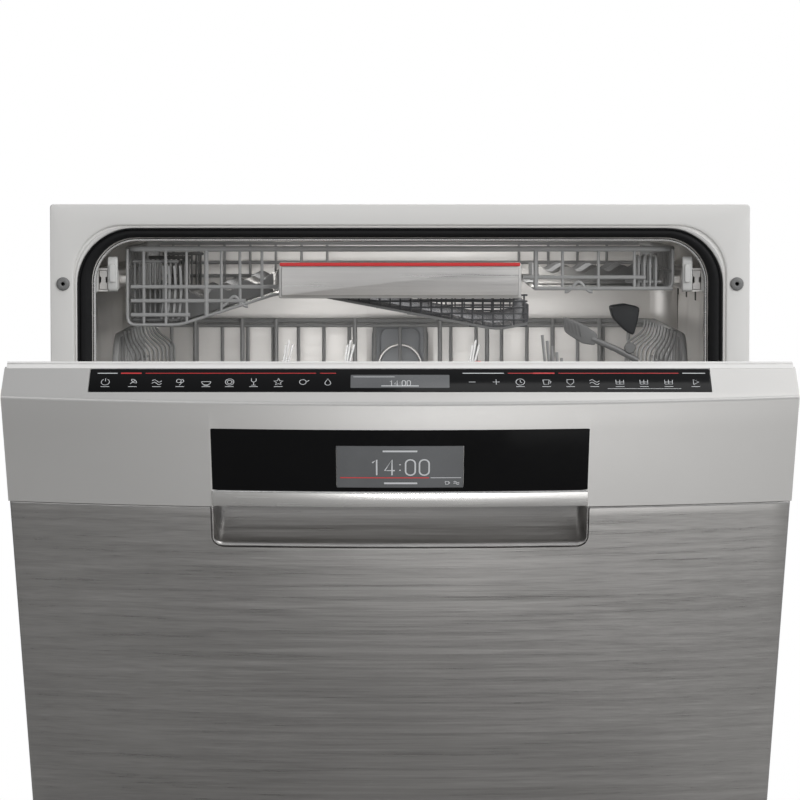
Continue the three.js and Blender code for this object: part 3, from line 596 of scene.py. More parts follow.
class Console(bpy.types.Operator):
    """The satin console: a bar with a bowed front, a tray for the key glass on top and a window in front"""

    bl_idname = "dishwasher.console"
    bl_label = "Console"

    def execute(self, context):
        sizes = context.scene.dishwasher_sizes
        keys, window, step = KEYS_HIGH[0] + 0.4, WINDOW_HIGH[0] + 0.3, 0.02
        x = stations(DOOR_HALF, DOOR_HALF - 1.2, keys, keys + step, window, window + step)
        tray = np.where(np.abs(x) <= keys, KEYS_LOW[2] - 0.4, DOOR_TOP)
        recess = np.where(np.abs(x) <= window, 2.3, 0.0)
        glass_top = WINDOW_HIGH[2] + 0.3
        foot, r = CONSOLE_LOW[2], 2.6
        nose = [(1, -r + a, DOOR_TOP - r + b) for a, b in arc(0, 0, r, 90, 0, 5)]
        profile = [
            (0, DOOR_BACK, foot),
            (0, DOOR_BACK, KEYS_LOW[2] - 0.4),
            (0, KEYS_LOW[1] - 0.3, KEYS_LOW[2] - 0.4),
            (0, KEYS_LOW[1] - 0.3, tray),
            (0, KEYS_HIGH[1] + 0.3, tray),
            (0, KEYS_HIGH[1] + 0.3, DOOR_TOP),
            *nose,
            (1, 0, glass_top),
            (1, -recess, glass_top),
            (1, -recess, foot),
        ]
        shape = Shape()
        shape.loft(across(x, profile, sizes))
        make("console_shell", shape, "console_silver", "door",
             replaces=["console"], bevel=0.35)
        return {"FINISHED"}


def front_sheet(shape, x, u, inset, sizes, hole=None):
    """A bowed sheet on a grid of x and u, behind the front by inset, with no faces inside the hole."""
    xs, us = np.meshgrid(x, u, indexing="ij")
    keep = np.ones((len(x) - 1, len(u) - 1), bool)
    if hole:
        middle_x, middle_u = (x[:-1] + x[1:]) / 2, (u[:-1] + u[1:]) / 2
        inside_x = (middle_x > hole[0]) & (middle_x < hole[1])
        inside_u = (middle_u > hole[2]) & (middle_u < hole[3])
        keep[np.ix_(inside_x, inside_u)] = False
    shape.grid(np.stack([xs, bow(xs, sizes) - inset, us], -1), keep=keep)


class FrontGlass(bpy.types.Operator):
    """The dark window in the console, the display behind it and the bright strip below"""

    bl_idname = "dishwasher.front_glass"
    bl_label = "Front window"

    def execute(self, context):
        sizes = context.scene.dishwasher_sizes
        half, low, high = WINDOW_HIGH[0], WINDOW_LOW[2], WINDOW_HIGH[2]
        lcd, lcd_low, lcd_high = SCREEN_HIGH[0], SCREEN_LOW[2], SCREEN_HIGH[2]
        shape = Shape()
        u = np.array([low, lcd_low - 0.3, lcd_high + 0.3, high])
        hole = (-lcd - 0.3, lcd + 0.3, u[1], u[2])
        front_sheet(shape, stations(half, lcd + 0.3, step=8), u, 0.15, sizes, hole)
        make("window_glass", shape, "black_glass", "door",
             replaces=["display_glass"], wall=-1.8, bevel=0.3)
        shape = Shape()
        front_sheet(shape, stations(lcd, step=6), np.linspace(lcd_low, lcd_high, 4), 0.35, sizes)
        make("display_panel", shape, "lcd", "door",
             replaces=["screen"], wall=-1.5, bevel=0.2)
        foot, top = TRIM_LOW[2], TRIM_HIGH[2]
        rounds = [(1, 0.8 - 1.6 + a, top - 1.6 + b) for a, b in arc(0, 0, 1.6, 90, 0, 4)]
        lower = [(1, 0.8 - 1.6 + a, foot + 1.6 - b) for a, b in arc(0, 0, 1.6, 0, 90, 4)]
        profile = [(1, -2, foot), (1, -2, top), *rounds, *lower]
        shape = Shape()
        shape.loft(across(stations(half, half - 0.8, step=8), profile, sizes))
        make("window_trim", shape, "bright_trim", "door",
             replaces=["trim_strip"], bevel=0.4)
        return {"FINISHED"}


GRIP_CORNER = 9.0


def grip_foot(x):
    """The grip opening's lower edge, a quarter circle at each end: foot + r - sqrt(r^2 - d^2)."""
    past = np.clip(np.abs(x) - (GRIP_HIGH[0] - GRIP_CORNER), 0, GRIP_CORNER)
    return GRIP_LOW[2] + GRIP_CORNER - np.sqrt(GRIP_CORNER**2 - past**2)


class DoorPanel(bpy.types.Operator):
    """The brushed front panel, cut away at its top for the grip, and the scooped grip behind the cut"""

    bl_idname = "dishwasher.door_panel"
    bl_label = "Door panel and grip"

    def execute(self, context):
        sizes = context.scene.dishwasher_sizes
        self.panel(sizes)
        self.grip(sizes)
        return {"FINISHED"}

    def panel(self, sizes):
        """Columns run from one side's back edge round both front corners to the other side's; rows run up.

        A row's pull is how far it draws back from the front, by 1 - sin t over a quarter circle at the
        foot and the top. The row at the grip's foot follows its round corners.
        """
        half, foot, top, r = PANEL_HIGH[0], PANEL_LOW[2], PANEL_HIGH[2], 1.6
        grip = GRIP_HIGH[0] + 0.3
        corners = grip - GRIP_CORNER * np.linspace(0, 1, 9)
        x = stations(half - r, grip, *corners)
        turn = arc(half - r, bow(half, sizes) - r, r, 60, 0, 2)
        x = np.concatenate([[-half], -turn[::-1, 0], x, turn[:, 0], [half]])
        w = np.concatenate([[DOOR_BACK], turn[::-1, 1], bow(x[4:-4], sizes), turn[:, 1], [DOOR_BACK]])
        rim = grip_foot(np.minimum(np.abs(x), grip)) - 0.3
        t = np.linspace(0, math.pi / 2, 4)
        pull, bend = r * (1 - np.sin(t)), r * (1 - np.cos(t))
        low = foot + r + np.linspace(0, 1, 14)[1:, None] * (rim - foot - r)
        high = rim + np.linspace(0, 1, 5)[1:, None] * (top - r - rim)
        ones = np.ones_like(x)
        u = np.vstack([foot * ones, (foot + bend)[:, None] * ones, low, high,
                       (top - bend[::-1])[1:, None] * ones, top * ones])
        draw = np.concatenate([[999], pull, np.zeros(len(low) + len(high)), pull[::-1][1:], [999]])
        w = np.maximum(w[None] - draw[:, None], DOOR_BACK)
        keep = np.ones((len(x) - 1, len(u) - 1), bool)
        keep[np.ix_(np.abs(x[:-1] + x[1:]) / 2 < grip, np.arange(len(u) - 1) >= len(t) + len(low))] = False
        shape = Shape()
        shape.grid(np.stack([np.broadcast_to(x, u.shape), w, u], -1).transpose(1, 0, 2), keep=keep)
        make("front_panel", shape, "brushed", "door",
             replaces=["door_panel"], wall=-1.0, bevel=0.3)

    def grip(self, sizes):
        """The scoop: a quarter ellipse from the panel's edge in and up, its depth closing at both ends."""
        half, top = GRIP_HIGH[0] - 0.2, GRIP_HIGH[2]
        ends = half - GRIP_CORNER * (1 - np.cos(np.linspace(0, math.pi / 2, 9)))
        x = stations(half, *ends)[:, None]
        past = np.clip((np.abs(x) - (half - GRIP_CORNER)) / GRIP_CORNER, 0, 1)
        reach = (FRONT_END - GRIP_LOW[1] - 4) * np.sqrt(1 - past**2)
        t = np.linspace(0, math.pi / 2, 18)[None]
        low = grip_foot(x) + 0.2
        front = bow(x, sizes) - 0.9
        w = front - reach * np.sin(t) ** 0.9
        u = low + (top - 0.5 - low) * (1 - np.cos(t)) ** 0.8
        shape = Shape()
        shape.grid(np.stack([np.broadcast_to(x, w.shape), w, u], -1))
        make("grip_scoop", shape, "brushed", "door",
             replaces=["grip_cup"], wall=-1.2)


class KeyGlass(bpy.types.Operator):
    """The dark glass along the door's top edge that covers the touch keys"""

    bl_idname = "dishwasher.key_glass"
    bl_label = "Key glass"

    def execute(self, context):
        shape = Shape()
        (x0, w0, u0), (x1, w1, u1) = KEYS_LOW, KEYS_HIGH
        pad(shape, (x0, w0 + 0.2, u0), (x1, w1, u1), edge=0.4, corner=1.5)
        make("key_glass", shape, "black_glass", "door",
             replaces=["control_glass"])
        return {"FINISHED"}


# ---- Marks on the glass: small signs drawn with strokes in a square from -1 to 1 ----
def ring(a, b, radius, start=0, end=360, steps=14):
    return arc(a, b, radius, start, end, steps)


def line(*points):
    return np.array(points, float)


def star(points=5, outer=1.0, inner=0.45):
    t = math.pi / 2 + np.arange(2 * points + 1) * math.pi / points
    radius = np.where(np.arange(2 * points + 1) % 2, inner, outer)
    return np.stack([radius * np.cos(t), radius * np.sin(t)], -1)


SIGNS = {
    "power": [ring(0, 0, 0.85, 120, 420), line((0, 0.2), (0, 1.05))],
    "leaf": [ring(-0.3, -0.3, 1.1, 0, 90, 6), ring(0.8, 0.8, 1.1, 180, 270, 6),
             line((-0.5, -0.5), (0.4, 0.4))],
    "wave": [np.stack([np.linspace(-1, 1, 13), 0.35 * np.sin(np.linspace(0, 6.3, 13)) + d],
                      -1) for d in (-0.4, 0.3)],
    "sprayer": [ring(-0.3, 0.3, 0.5), ring(0.25, 0.3, 0.45, 250, 450), line((0.3, -0.2), (-0.1, -0.9))],
    "dishes": [ring(0, 0.1, 0.95, 180, 360), line((-1, 0.1), (1, 0.1)), line((-0.5, -0.95), (0.5, -0.95))],
    "plate": [ring(0, 0, 0.9), ring(0, 0, 0.5)],
    "glass": [ring(0, 0.5, 0.5, 180, 360), line((-0.5, 0.5), (-0.5, 1)), line((0.5, 0.5), (0.5, 1)),
              line((0, 0), (0, -0.9)), line((-0.45, -0.9), (0.45, -0.9))],
    "star": [star()],
    "pan": [ring(-0.2, 0, 0.7), line((0.5, 0), (1.1, 0.5))],
    "drop": [ring(0, -0.3, 0.6, -215, 35), line((-0.49, 0.04), (0, 0.95), (0.49, 0.04))],
    "minus": [line((-0.7, 0), (0.7, 0))],
    "plus": [line((-0.7, 0), (0.7, 0)), line((0, -0.7), (0, 0.7))],
    "clock": [ring(0, 0, 0.9), line((0, 0.55), (0, 0), (0.4, -0.2))],
    "cup": [line((-0.7, 0.6), (-0.5, -0.7), (0.4, -0.7), (0.6, 0.6), (-0.7, 0.6)),
            ring(0.6, 0, 0.35, -80, 80, 6)],
    "shield": [line((-0.7, 0.7), (0.7, 0.7), (0.7, -0.1), (0, -0.9), (-0.7, -0.1), (-0.7, 0.7))],
    "basket": [line((-0.8, 0.6), (-0.8, -0.6), (0.8, -0.6), (0.8, 0.6)), line((-0.8, 0), (0.8, 0)),
               line((0, 0.6), (0, -0.6))],
    "start": [line((-0.4, -0.7), (0.7, 0), (-0.4, 0.7), (-0.4, -0.7))],
}
# Which sign stands where along the key glass, and how large it is.
KEYS = [
    (-220.5, "power"), (-200, "leaf"), (-182, "wave"), (-164.5, "sprayer"), (-145, "dishes"),
    (-127.5, "plate"),
    (-109.5, "glass"), (-91, "star"), (-72, "pan"), (-54, "drop"), (54, "minus"), (72, "plus"), (90, "clock"),
    (109.5, "cup"), (127.5, "shield"), (145.5, "wave"), (164.5, "basket"), (182.5, "basket"), (201, "basket"),
    (221, "start"),
]
SIGN_HALF, STROKE = 3.6, 0.42
# The lines printed along the back of the glass: from, to, finish.
KEY_LINES = [
    (-227, -212, "print"), (-209.5, -194, "accent"), (-191, -63, "accent_dim"), (-60, -48, "accent_dim"),
    (47, 78, "print"), (81, 100, "accent_dim"), (100, 116, "accent"), (119, 209, "accent_dim"),
    (212, 229, "print"),
]
PROUD = 0.12  # how far print stands on glass


class KeyMarks(bpy.types.Operator):
    """The printed signs over the touch keys, the lines behind them and the small clock display between"""

    bl_idname = "dishwasher.key_marks"
    bl_label = "Key marks"

    def execute(self, context):
        level = KEYS_HIGH[2] + PROUD / 2
        signs = Shape()
        for x, name in KEYS:
            for stroke in SIGNS[name]:
                path = np.column_stack([x + SIGN_HALF * stroke[:, 0], 28.5 - SIGN_HALF * 1.25 * stroke[:, 1],
                                        np.full(len(stroke), level)])
                ribbon(signs, path, STROKE, PROUD, (0, 0, 1))
        for x, _ in KEYS:
            if abs(x) not in (54, 72):
                word = [(x - 3.2, 34.4, level), (x + 3.2, 34.4, level)]
                ribbon(signs, word, 0.5, PROUD, (0, 0, 1))
        ribbon(signs, [(155, 37, level), (210, 37, level)], 0.35, PROUD, (0, 0, 1))
        for low, high, finish_name in KEY_LINES:
            if finish_name == "print":
                ribbon(signs, [(low, 17.2, level), (high, 17.2, level)], 0.8, PROUD, (0, 0, 1))
        make("key_signs", signs, "print", "door")
        lines = Shape()
        for low, high, finish_name in KEY_LINES:
            if finish_name != "print":
                width = 1.3 if finish_name == "accent" else 0.6
                ribbon(lines, [(low, 17.2, level), (high, 17.2, level)], width, PROUD, (0, 0, 1))
        make("key_lines", lines, "accent", "door")
        clock = Shape()
        pad(clock, (-37, 19.3, KEYS_HIGH[2] - 0.3), (37, 36, KEYS_HIGH[2] + 0.08), edge=0.05, corner=0.8)
        make("clock_display", clock, "lcd", "door")
        digits = Shape()
        rise = KEYS_HIGH[2] + 0.08 + PROUD / 2
        flat = lambda p: np.column_stack([p[:, 0], 30 - 1.25 * p[:, 1], np.full(len(p), rise)])
        number(digits, "14:00", 5.2, flat, 0.5, (0, 0, 1))
        ribbon(digits, [(-35, 22, rise), (-4, 22, rise)], 0.5, PROUD, (0, 0, 1))
        ribbon(digits, [(-14, 33.6, rise), (14, 33.6, rise)], 0.9, PROUD, (0, 0, 1))
        make("clock_digits", digits, "print", "door")
        return {"FINISHED"}


# Strokes of the digits that the displays show, in a cell 1 wide and 2 tall about its middle.
DIGITS = {
    "0": [np.concatenate([arc(0, 0.5, 0.5, 0, 180, 8), arc(0, -0.5, 0.5, 180, 360, 8), line((0.5, 0.5))])],
    "1": [line((-0.35, 0.6), (0.1, 1), (0.1, -1))],
    "4": [line((0.25, -1), (0.25, 1), (-0.5, -0.4), (0.55, -0.4))],
    ":": [line((0, 0.42), (0, 0.3)), line((0, -0.3), (0, -0.42))],
}


def number(shape, text, height, place, width, up):
    """Digits as strokes, centred on zero, each cell as wide as 0.72 of the height and a colon as 0.36."""
    widths = [height * (0.36 if sign == ":" else 0.72) for sign in text]
    left = -sum(widths) / 2
    for sign, cell in zip(text, widths):
        for stroke in DIGITS[sign]:
            ribbon(shape, place(stroke * height / 2 + (left + cell / 2, 0)), width, PROUD, up)
        left += cell


class DisplayMarks(bpy.types.Operator):
    """The clock time, the progress line and the small signs on the front display, on its bowed surface"""

    bl_idname = "dishwasher.display_marks"
    bl_label = "Display marks"

    def execute(self, context):
        sizes = context.scene.dishwasher_sizes

        def on_display(points, lift=0.28):
            """A flat drawing (x, u) on the display: w = front - lift."""
            return np.column_stack([points[:, 0], bow(points[:, 0], sizes) - lift, points[:, 1]])

        marks, out = Shape(), (0, 1, 0)
        middle = 642.5
        number(marks, "14:00", 14.5, lambda p: on_display(p + (0, middle)), 1.15, out)
        for low, high, u, width in ((-13, 13, 657.6, 1.5), (-12, 13, 627.6, 1.5), (23, 46, 632.8, 0.5)):
            ribbon(marks, on_display(np.column_stack([np.linspace(low, high, 6), np.full(6, u)])), width,
                   PROUD, out)
        for sign, x in (("cup", 35.5), ("wave", 42.5)):
            for stroke in SIGNS[sign]:
                ribbon(marks, on_display(stroke * 2.1 + (x, 628)), 0.45, PROUD, out)
        make("display_digits", marks, "print", "door")
        progress = Shape()
        ribbon(progress, on_display(np.column_stack([np.linspace(-45, 22, 12), np.full(12, 632.8)])), 0.8,
               PROUD, out)
        make("progress_line", progress, "accent", "door")
        return {"FINISHED"}


# ---- The inner door ----
LINER_LOW_EDGE = 4.3  # the liner's edge stands this far in front of the hinge axis


class InnerDoor(bpy.types.Operator):
    """The pressed steel inner door with its rim lip, ribs and hinge arms"""

    bl_idname = "dishwasher.inner_door"
    bl_label = "Inner door"

    def execute(self, context):
        half, foot, top = LINER_HIGH[0], 12.0, DOOR_TOP
        dish_low, dish_high, latch = 40.0, 662.0, DOOR_TOP - 34
        dispenser_low, dispenser_high = door_span("dispenser")
        x_stops = [half, 262, 247, 236, 12, 11.2]
        middle = (dispenser_low[0] + dispenser_high[0]) / 2
        cut = (dispenser_high[0] - dispenser_low[0]) / 2 - 2
        xs = stations(*x_stops, step=9)
        xs = np.unique(np.concatenate([xs, [middle - cut, middle + cut]]))
        ends = [foot, dish_low, dish_low + 14, dispenser_low[2] + 2, dispenser_high[2] - 2, dish_high - 14,
                dish_high,
                latch - 5, latch + 5, top]
        us = np.unique(np.concatenate([np.linspace(a, b, max(2, int((b - a) / 9) + 1)) for a,
                                       b in zip(ends, ends[1:])]))
        x, u = np.meshgrid(xs, us, indexing="ij")
        dish = ease((250 - np.abs(x)) / 14) * ease((u - dish_low) / 14) * ease((dish_high - u) / 14)
        near = ease((np.abs(x - middle) - 100) / 12) + ease((np.abs(u - 455) - 72) / 12)
        ribs = np.clip(near, 0, 1) * (0.5 - 0.5 * np.cos(2 * math.pi * (x + 225) / 75)) ** 3
        ribs *= ease((u - 90) / 25) * ease((620 - u) / 25) * ease((232 - np.abs(x)) / 8)
        w = LINER_LOW_EDGE - dish * (4.4 + 2.2 * ribs)
        holes = np.ones((len(xs) - 1, len(us) - 1), bool)
        mid_x, mid_u = (xs[:-1] + xs[1:]) / 2, (us[:-1] + us[1:]) / 2
        holes[np.ix_(np.abs(mid_x - middle) < cut,
                     np.abs(mid_u - 455) < (dispenser_high[2] - dispenser_low[2]) / 2 - 2)] = False
        holes[np.ix_(np.abs(mid_x) < 11.5, np.abs(mid_u - latch) < 5)] = False
        shape = Shape()
        shape.grid(np.stack([x, w, u], -1), keep=holes)
        make("door_liner_sheet", shape, "stainless", "door",
             replaces=["door_liner"], wall=-0.8)
        self.lip(half)
        self.arms()
        return {"FINISHED"}

    def lip(self, half):
        """The bright strip that folds over the door's top edge, and the seal strip along its foot."""
        shape = Shape()
        r = 1.4
        section = [(0.8, DOOR_TOP - 3.2), (0.8, DOOR_TOP - r), *arc(0.8 + r, DOOR_TOP - r, r, 180, 90, 4),
                   (KEYS_LOW[1] - 0.5, DOOR_TOP), (KEYS_LOW[1] - 0.5, DOOR_TOP - 1.2), (3.6, DOOR_TOP - 1.2),
                   (2.0, DOOR_TOP - 3.2)]
        xs = np.linspace(-half, half, 3)
        shape.loft(np.stack([np.column_stack([np.full(len(section), x), section]) for x in xs]))
        make("liner_lip", shape, "frame_grey", "door")
        shape = Shape()
        bead = rounded(-3.0, 4.0, 18, 27, 2.5)
        slab(shape, "x", bead, -255, 255, edge=1.5)
        make("door_foot_seal", shape, "seal_rubber", "door")

    def arms(self):
        """The two hinge arms that hang the door on its pins."""
        for name, sign in (("left", -1), ("right", 1)):
            bracket = span(f"hinge_bracket_{name}")
            inner = bracket[0][0] if sign > 0 else bracket[1][0]
            low, high = sorted((inner + sign * 1.2, inner + sign * 4.0))
            turn = arc(0, 0, 9, 180, 360, 12)
            outline = np.concatenate([turn, [(28, 8), (28, 68), (26, 70), (6.5, 70), (4.5, 68), (4.5, 12)]])
            shape = Shape()
            slab(shape, "x", outline, low, high, edge=0.4)
            turned(shape, "x", (0, 0), [(4.6, low - 0.4), (7, low - 0.4), (7, high + 0.4), (4.6, high + 0.4),
                                        (4.6, low - 0.4)])
            make(f"hinge_arm_{name}", shape, "zinc_sheet", "door")


class Dispenser(bpy.types.Operator):
    """The detergent dispenser with its cell, lid, rinse-aid cap and release button"""

    bl_idname = "dishwasher.dispenser"
    bl_label = "Dispenser"

    def execute(self, context):
        low, high = door_span("dispenser")
        lid_low, lid_high = door_span("dispenser_lid")
        cap_low, cap_high = door_span("rinse_cap")
        shape = Shape()
        cell = rounded(lid_low[0] + 4, lid_high[0] - 4, lid_low[2] + 4, lid_high[2] - 4, 8, 6)
        self.plate_with_well(shape, low, high, cell)
        for index in range(4):
            u = low[2] + 14 + 4 * index
            pad(shape, (cap_low[0] + 4, low[1] - 0.9, u), (cap_high[0] - 4, low[1] + 1, u + 1.6), 0.4, 0.7,
                axis="y")
        make("dispenser_body", shape, "grey_plastic", "door",
             replaces=["dispenser"])
        shape = Shape()
        w0, w1 = lid_low[1], lid_high[1]
        pad(shape, (lid_low[0], w0, lid_low[2]), (lid_high[0], w1, lid_high[2]), edge=1.2, corner=7, axis="y")
        pad(shape, (lid_low[0] + 12, w0 - 1.4, lid_low[2] + 10), (lid_high[0] - 12, w0 + 1, lid_low[2] + 24),
            1.0, 5, "y")
        make("dispenser_flap", shape, "pale_plastic", "dispenser_lid",
             replaces=["dispenser_lid"])
        self.cap(cap_low, cap_high)
        return {"FINISHED"}

    def plate_with_well(self, shape, low, high, cell):
        """A flange round a well: rings from the outer rim over the face, down the wall and to the floor."""
        outer = rounded(low[0], high[0], low[2], high[2], 10, 6)
        face, floor = low[1], high[1] - 4
        levels = [
            (outer, 0.0, high[1]), (outer, 0.0, face + 1.2), (outer, 0.5, face + 0.35), (outer, 1.2, face),
            (cell, -1.0, face), (cell, -0.3, face + 0.3), (cell, 0.2, face + 1.2), (cell, 3.0, floor - 4),
            (cell, 7.0, floor),
        ]
        shape.loft(np.stack([to_axis("y", shrink(outline, inset), w) for outline, inset, w in levels]))

    def cap(self, low, high):
        shape = Shape()
        centre = ((low[0] + high[0]) / 2, (low[2] + high[2]) / 2)
        radius, back, front = (high[0] - low[0]) / 2, high[1], low[1] + 3
        turned(shape, "y", centre, [(0, back), (radius - 0.6, back), (radius, back - 0.6),
                                    (radius, front + 0.8),
                                    (radius - 0.8, front), (radius - 6, front), (radius - 7, front + 0.7),
                                    (0, front + 0.7)])
        pad(shape, (low[0] + 4, low[1], centre[1] - 3), (high[0] - 4, front + 1, centre[1] + 3), 1.0, 2.6,
            "y")
        make("rinse_aid_cap", shape, "pale_plastic", "rinse_cap",
             replaces=["rinse_cap"])


class Latch(bpy.types.Operator):
    """The sprung latch bolt in the door's upper edge"""

    bl_idname = "dishwasher.latch"
    bl_label = "Latch"

    def execute(self, context):
        low, high = door_span("door_latch")
        shape = Shape()
        nose = [(low[1], low[2]), (high[1], low[2]), (high[1], high[2]), (low[1] + 5, high[2]),
                (low[1], high[2] - 4)]
        slab(shape, "x", fillet(nose, 1.2, 3, closed=True), low[0], high[0], edge=0.8)
        make("latch_bolt", shape, "pale_plastic", "latch",
             replaces=["door_latch"])
        return {"FINISHED"}


# ---- The cabinet's front ----
OPENING = FRONT_HIGH[0] - 23
OPENING_TOP = FRONT_HIGH[2] - 20.5
BACK = span("rear_panel")[1][1]
TUB_FLOOR = span("sump")[1][2]
LAMP_Y = 62.0  # the lamps under the tub's roof behind the flange


def doorway(half, foot, top, radius, steps=10):
    """An open path up the left side, over two quarter circles and down the right side."""
    left = arc(radius - half, top - radius, radius, 180, 90, steps)
    right = arc(half - radius, top - radius, radius, 90, 0, steps)
    return np.concatenate([[(-half, foot)], left, right, [(half, foot)]])


def doorway_ring(shape, inner, outer, section, caps=True):
    """A section of (share from inner to outer, y) carried along two doorway paths of equal length."""
    rings = np.stack([
        np.column_stack([inner[:, 0] + share * (outer - inner)[:, 0], np.full(len(inner), y),
                         inner[:, 1] + share * (outer - inner)[:, 1]])
        for share, y in section
    ], 1)
    shape.grid(rings, around=True)
    if caps:
        shape.cap(rings[0])
        shape.cap(rings[-1])


class FrontFrame(bpy.types.Operator):
    """The painted frame round the opening, its bright inner bead, the door seal and the fixing plugs"""

    bl_idname = "dishwasher.front_frame"
    bl_label = "Front frame"

    def execute(self, context):
        (foot, back), half, top = (FRONT_LOW[2], FRONT_HIGH[1]), FRONT_HIGH[0], FRONT_HIGH[2]
        shape = Shape()
        inner = doorway(OPENING, foot, OPENING_TOP, 48)
        outer = doorway(half, foot, top, 3)
        section = [(0.0, back), (0.0, 2.6), (0.02, 1.6), (0.06, 1.2), (0.085, 2.4), (0.115, 2.4), (0.14, 0.5),
                   (0.17, 0.1),
                   (0.2, 0.0), (0.95, 0.0), (0.985, 0.3), (1.0, 1.1), (1.0, back)]
        doorway_ring(shape, inner, outer, section)
        make("front_surround", shape, "frame_grey", "cabinet", replaces=["front_frame"])
        self.seal()
        self.rim()
        for name in ("left", "right"):
            low, high = span(f"fixing_plug_{name}")
            self.plug(name, low, high)
        return {"FINISHED"}

    def seal(self):
        """A hollow-looking rubber strip: a soft bulb towards the door and a lip over the tub's rim."""
        low, high = span("door_seal")
        shape = Shape()
        inner = doorway(OPENING - 12, low[2], OPENING_TOP - 8, 38, 12)
        outer = doorway(high[0], low[2], high[2], 47.7, 12)
        bulb = [(share, 2.1 - 2.2 * math.sin(math.pi * share)) for share in np.linspace(0.04, 0.74, 9)]
        section = [(0.0, high[1]), (0.0, 3.4), *bulb, (0.82, 2.4), (0.9, 1.6), (1.0, 1.5), (1.0, high[1])]
        doorway_ring(shape, inner, outer, section)
        make("door_gasket", shape, "seal_rubber", "cabinet", replaces=["door_seal"])

    def rim(self):
        """The tub's rolled rim: a round bead inside the seal."""
        shape = Shape()
        path = doorway(OPENING - 13.8, TUB_FLOOR + 2, OPENING_TOP - 10, 37, 12)
        points = np.column_stack([path[:, 0], np.full(len(path), 11.0), path[:, 1]])
        wire(shape, points, 1.6, up=(0, 1, 0), sides=10)
        make("tub_rim_bead", shape, "bright_trim", "cabinet")

    def plug(self, name, low, high):
        """A fixing-screw cover: a shallow dome with a six-sided socket."""
        centre, radius, face = ((low[0] + high[0]) / 2,
                                (low[2] + high[2]) / 2), (high[0] - low[0]) / 2, low[1]
        shape = Shape()
        profile = [(0, face + 2.2), (1.5, face + 2.2), (1.7, face + 0.3), (2.2, face + 0.05),
                   (radius - 1.5, face + 0.25),
                   (radius - 0.4, face + 0.8), (radius, face + 1.4), (radius, high[1]), (0, high[1])]
        turned(shape, "y", centre, profile, steps=24)
        make(f"plug_cover_{name}", shape, "grey_plastic", "cabinet",
             replaces=[f"fixing_plug_{name}"])


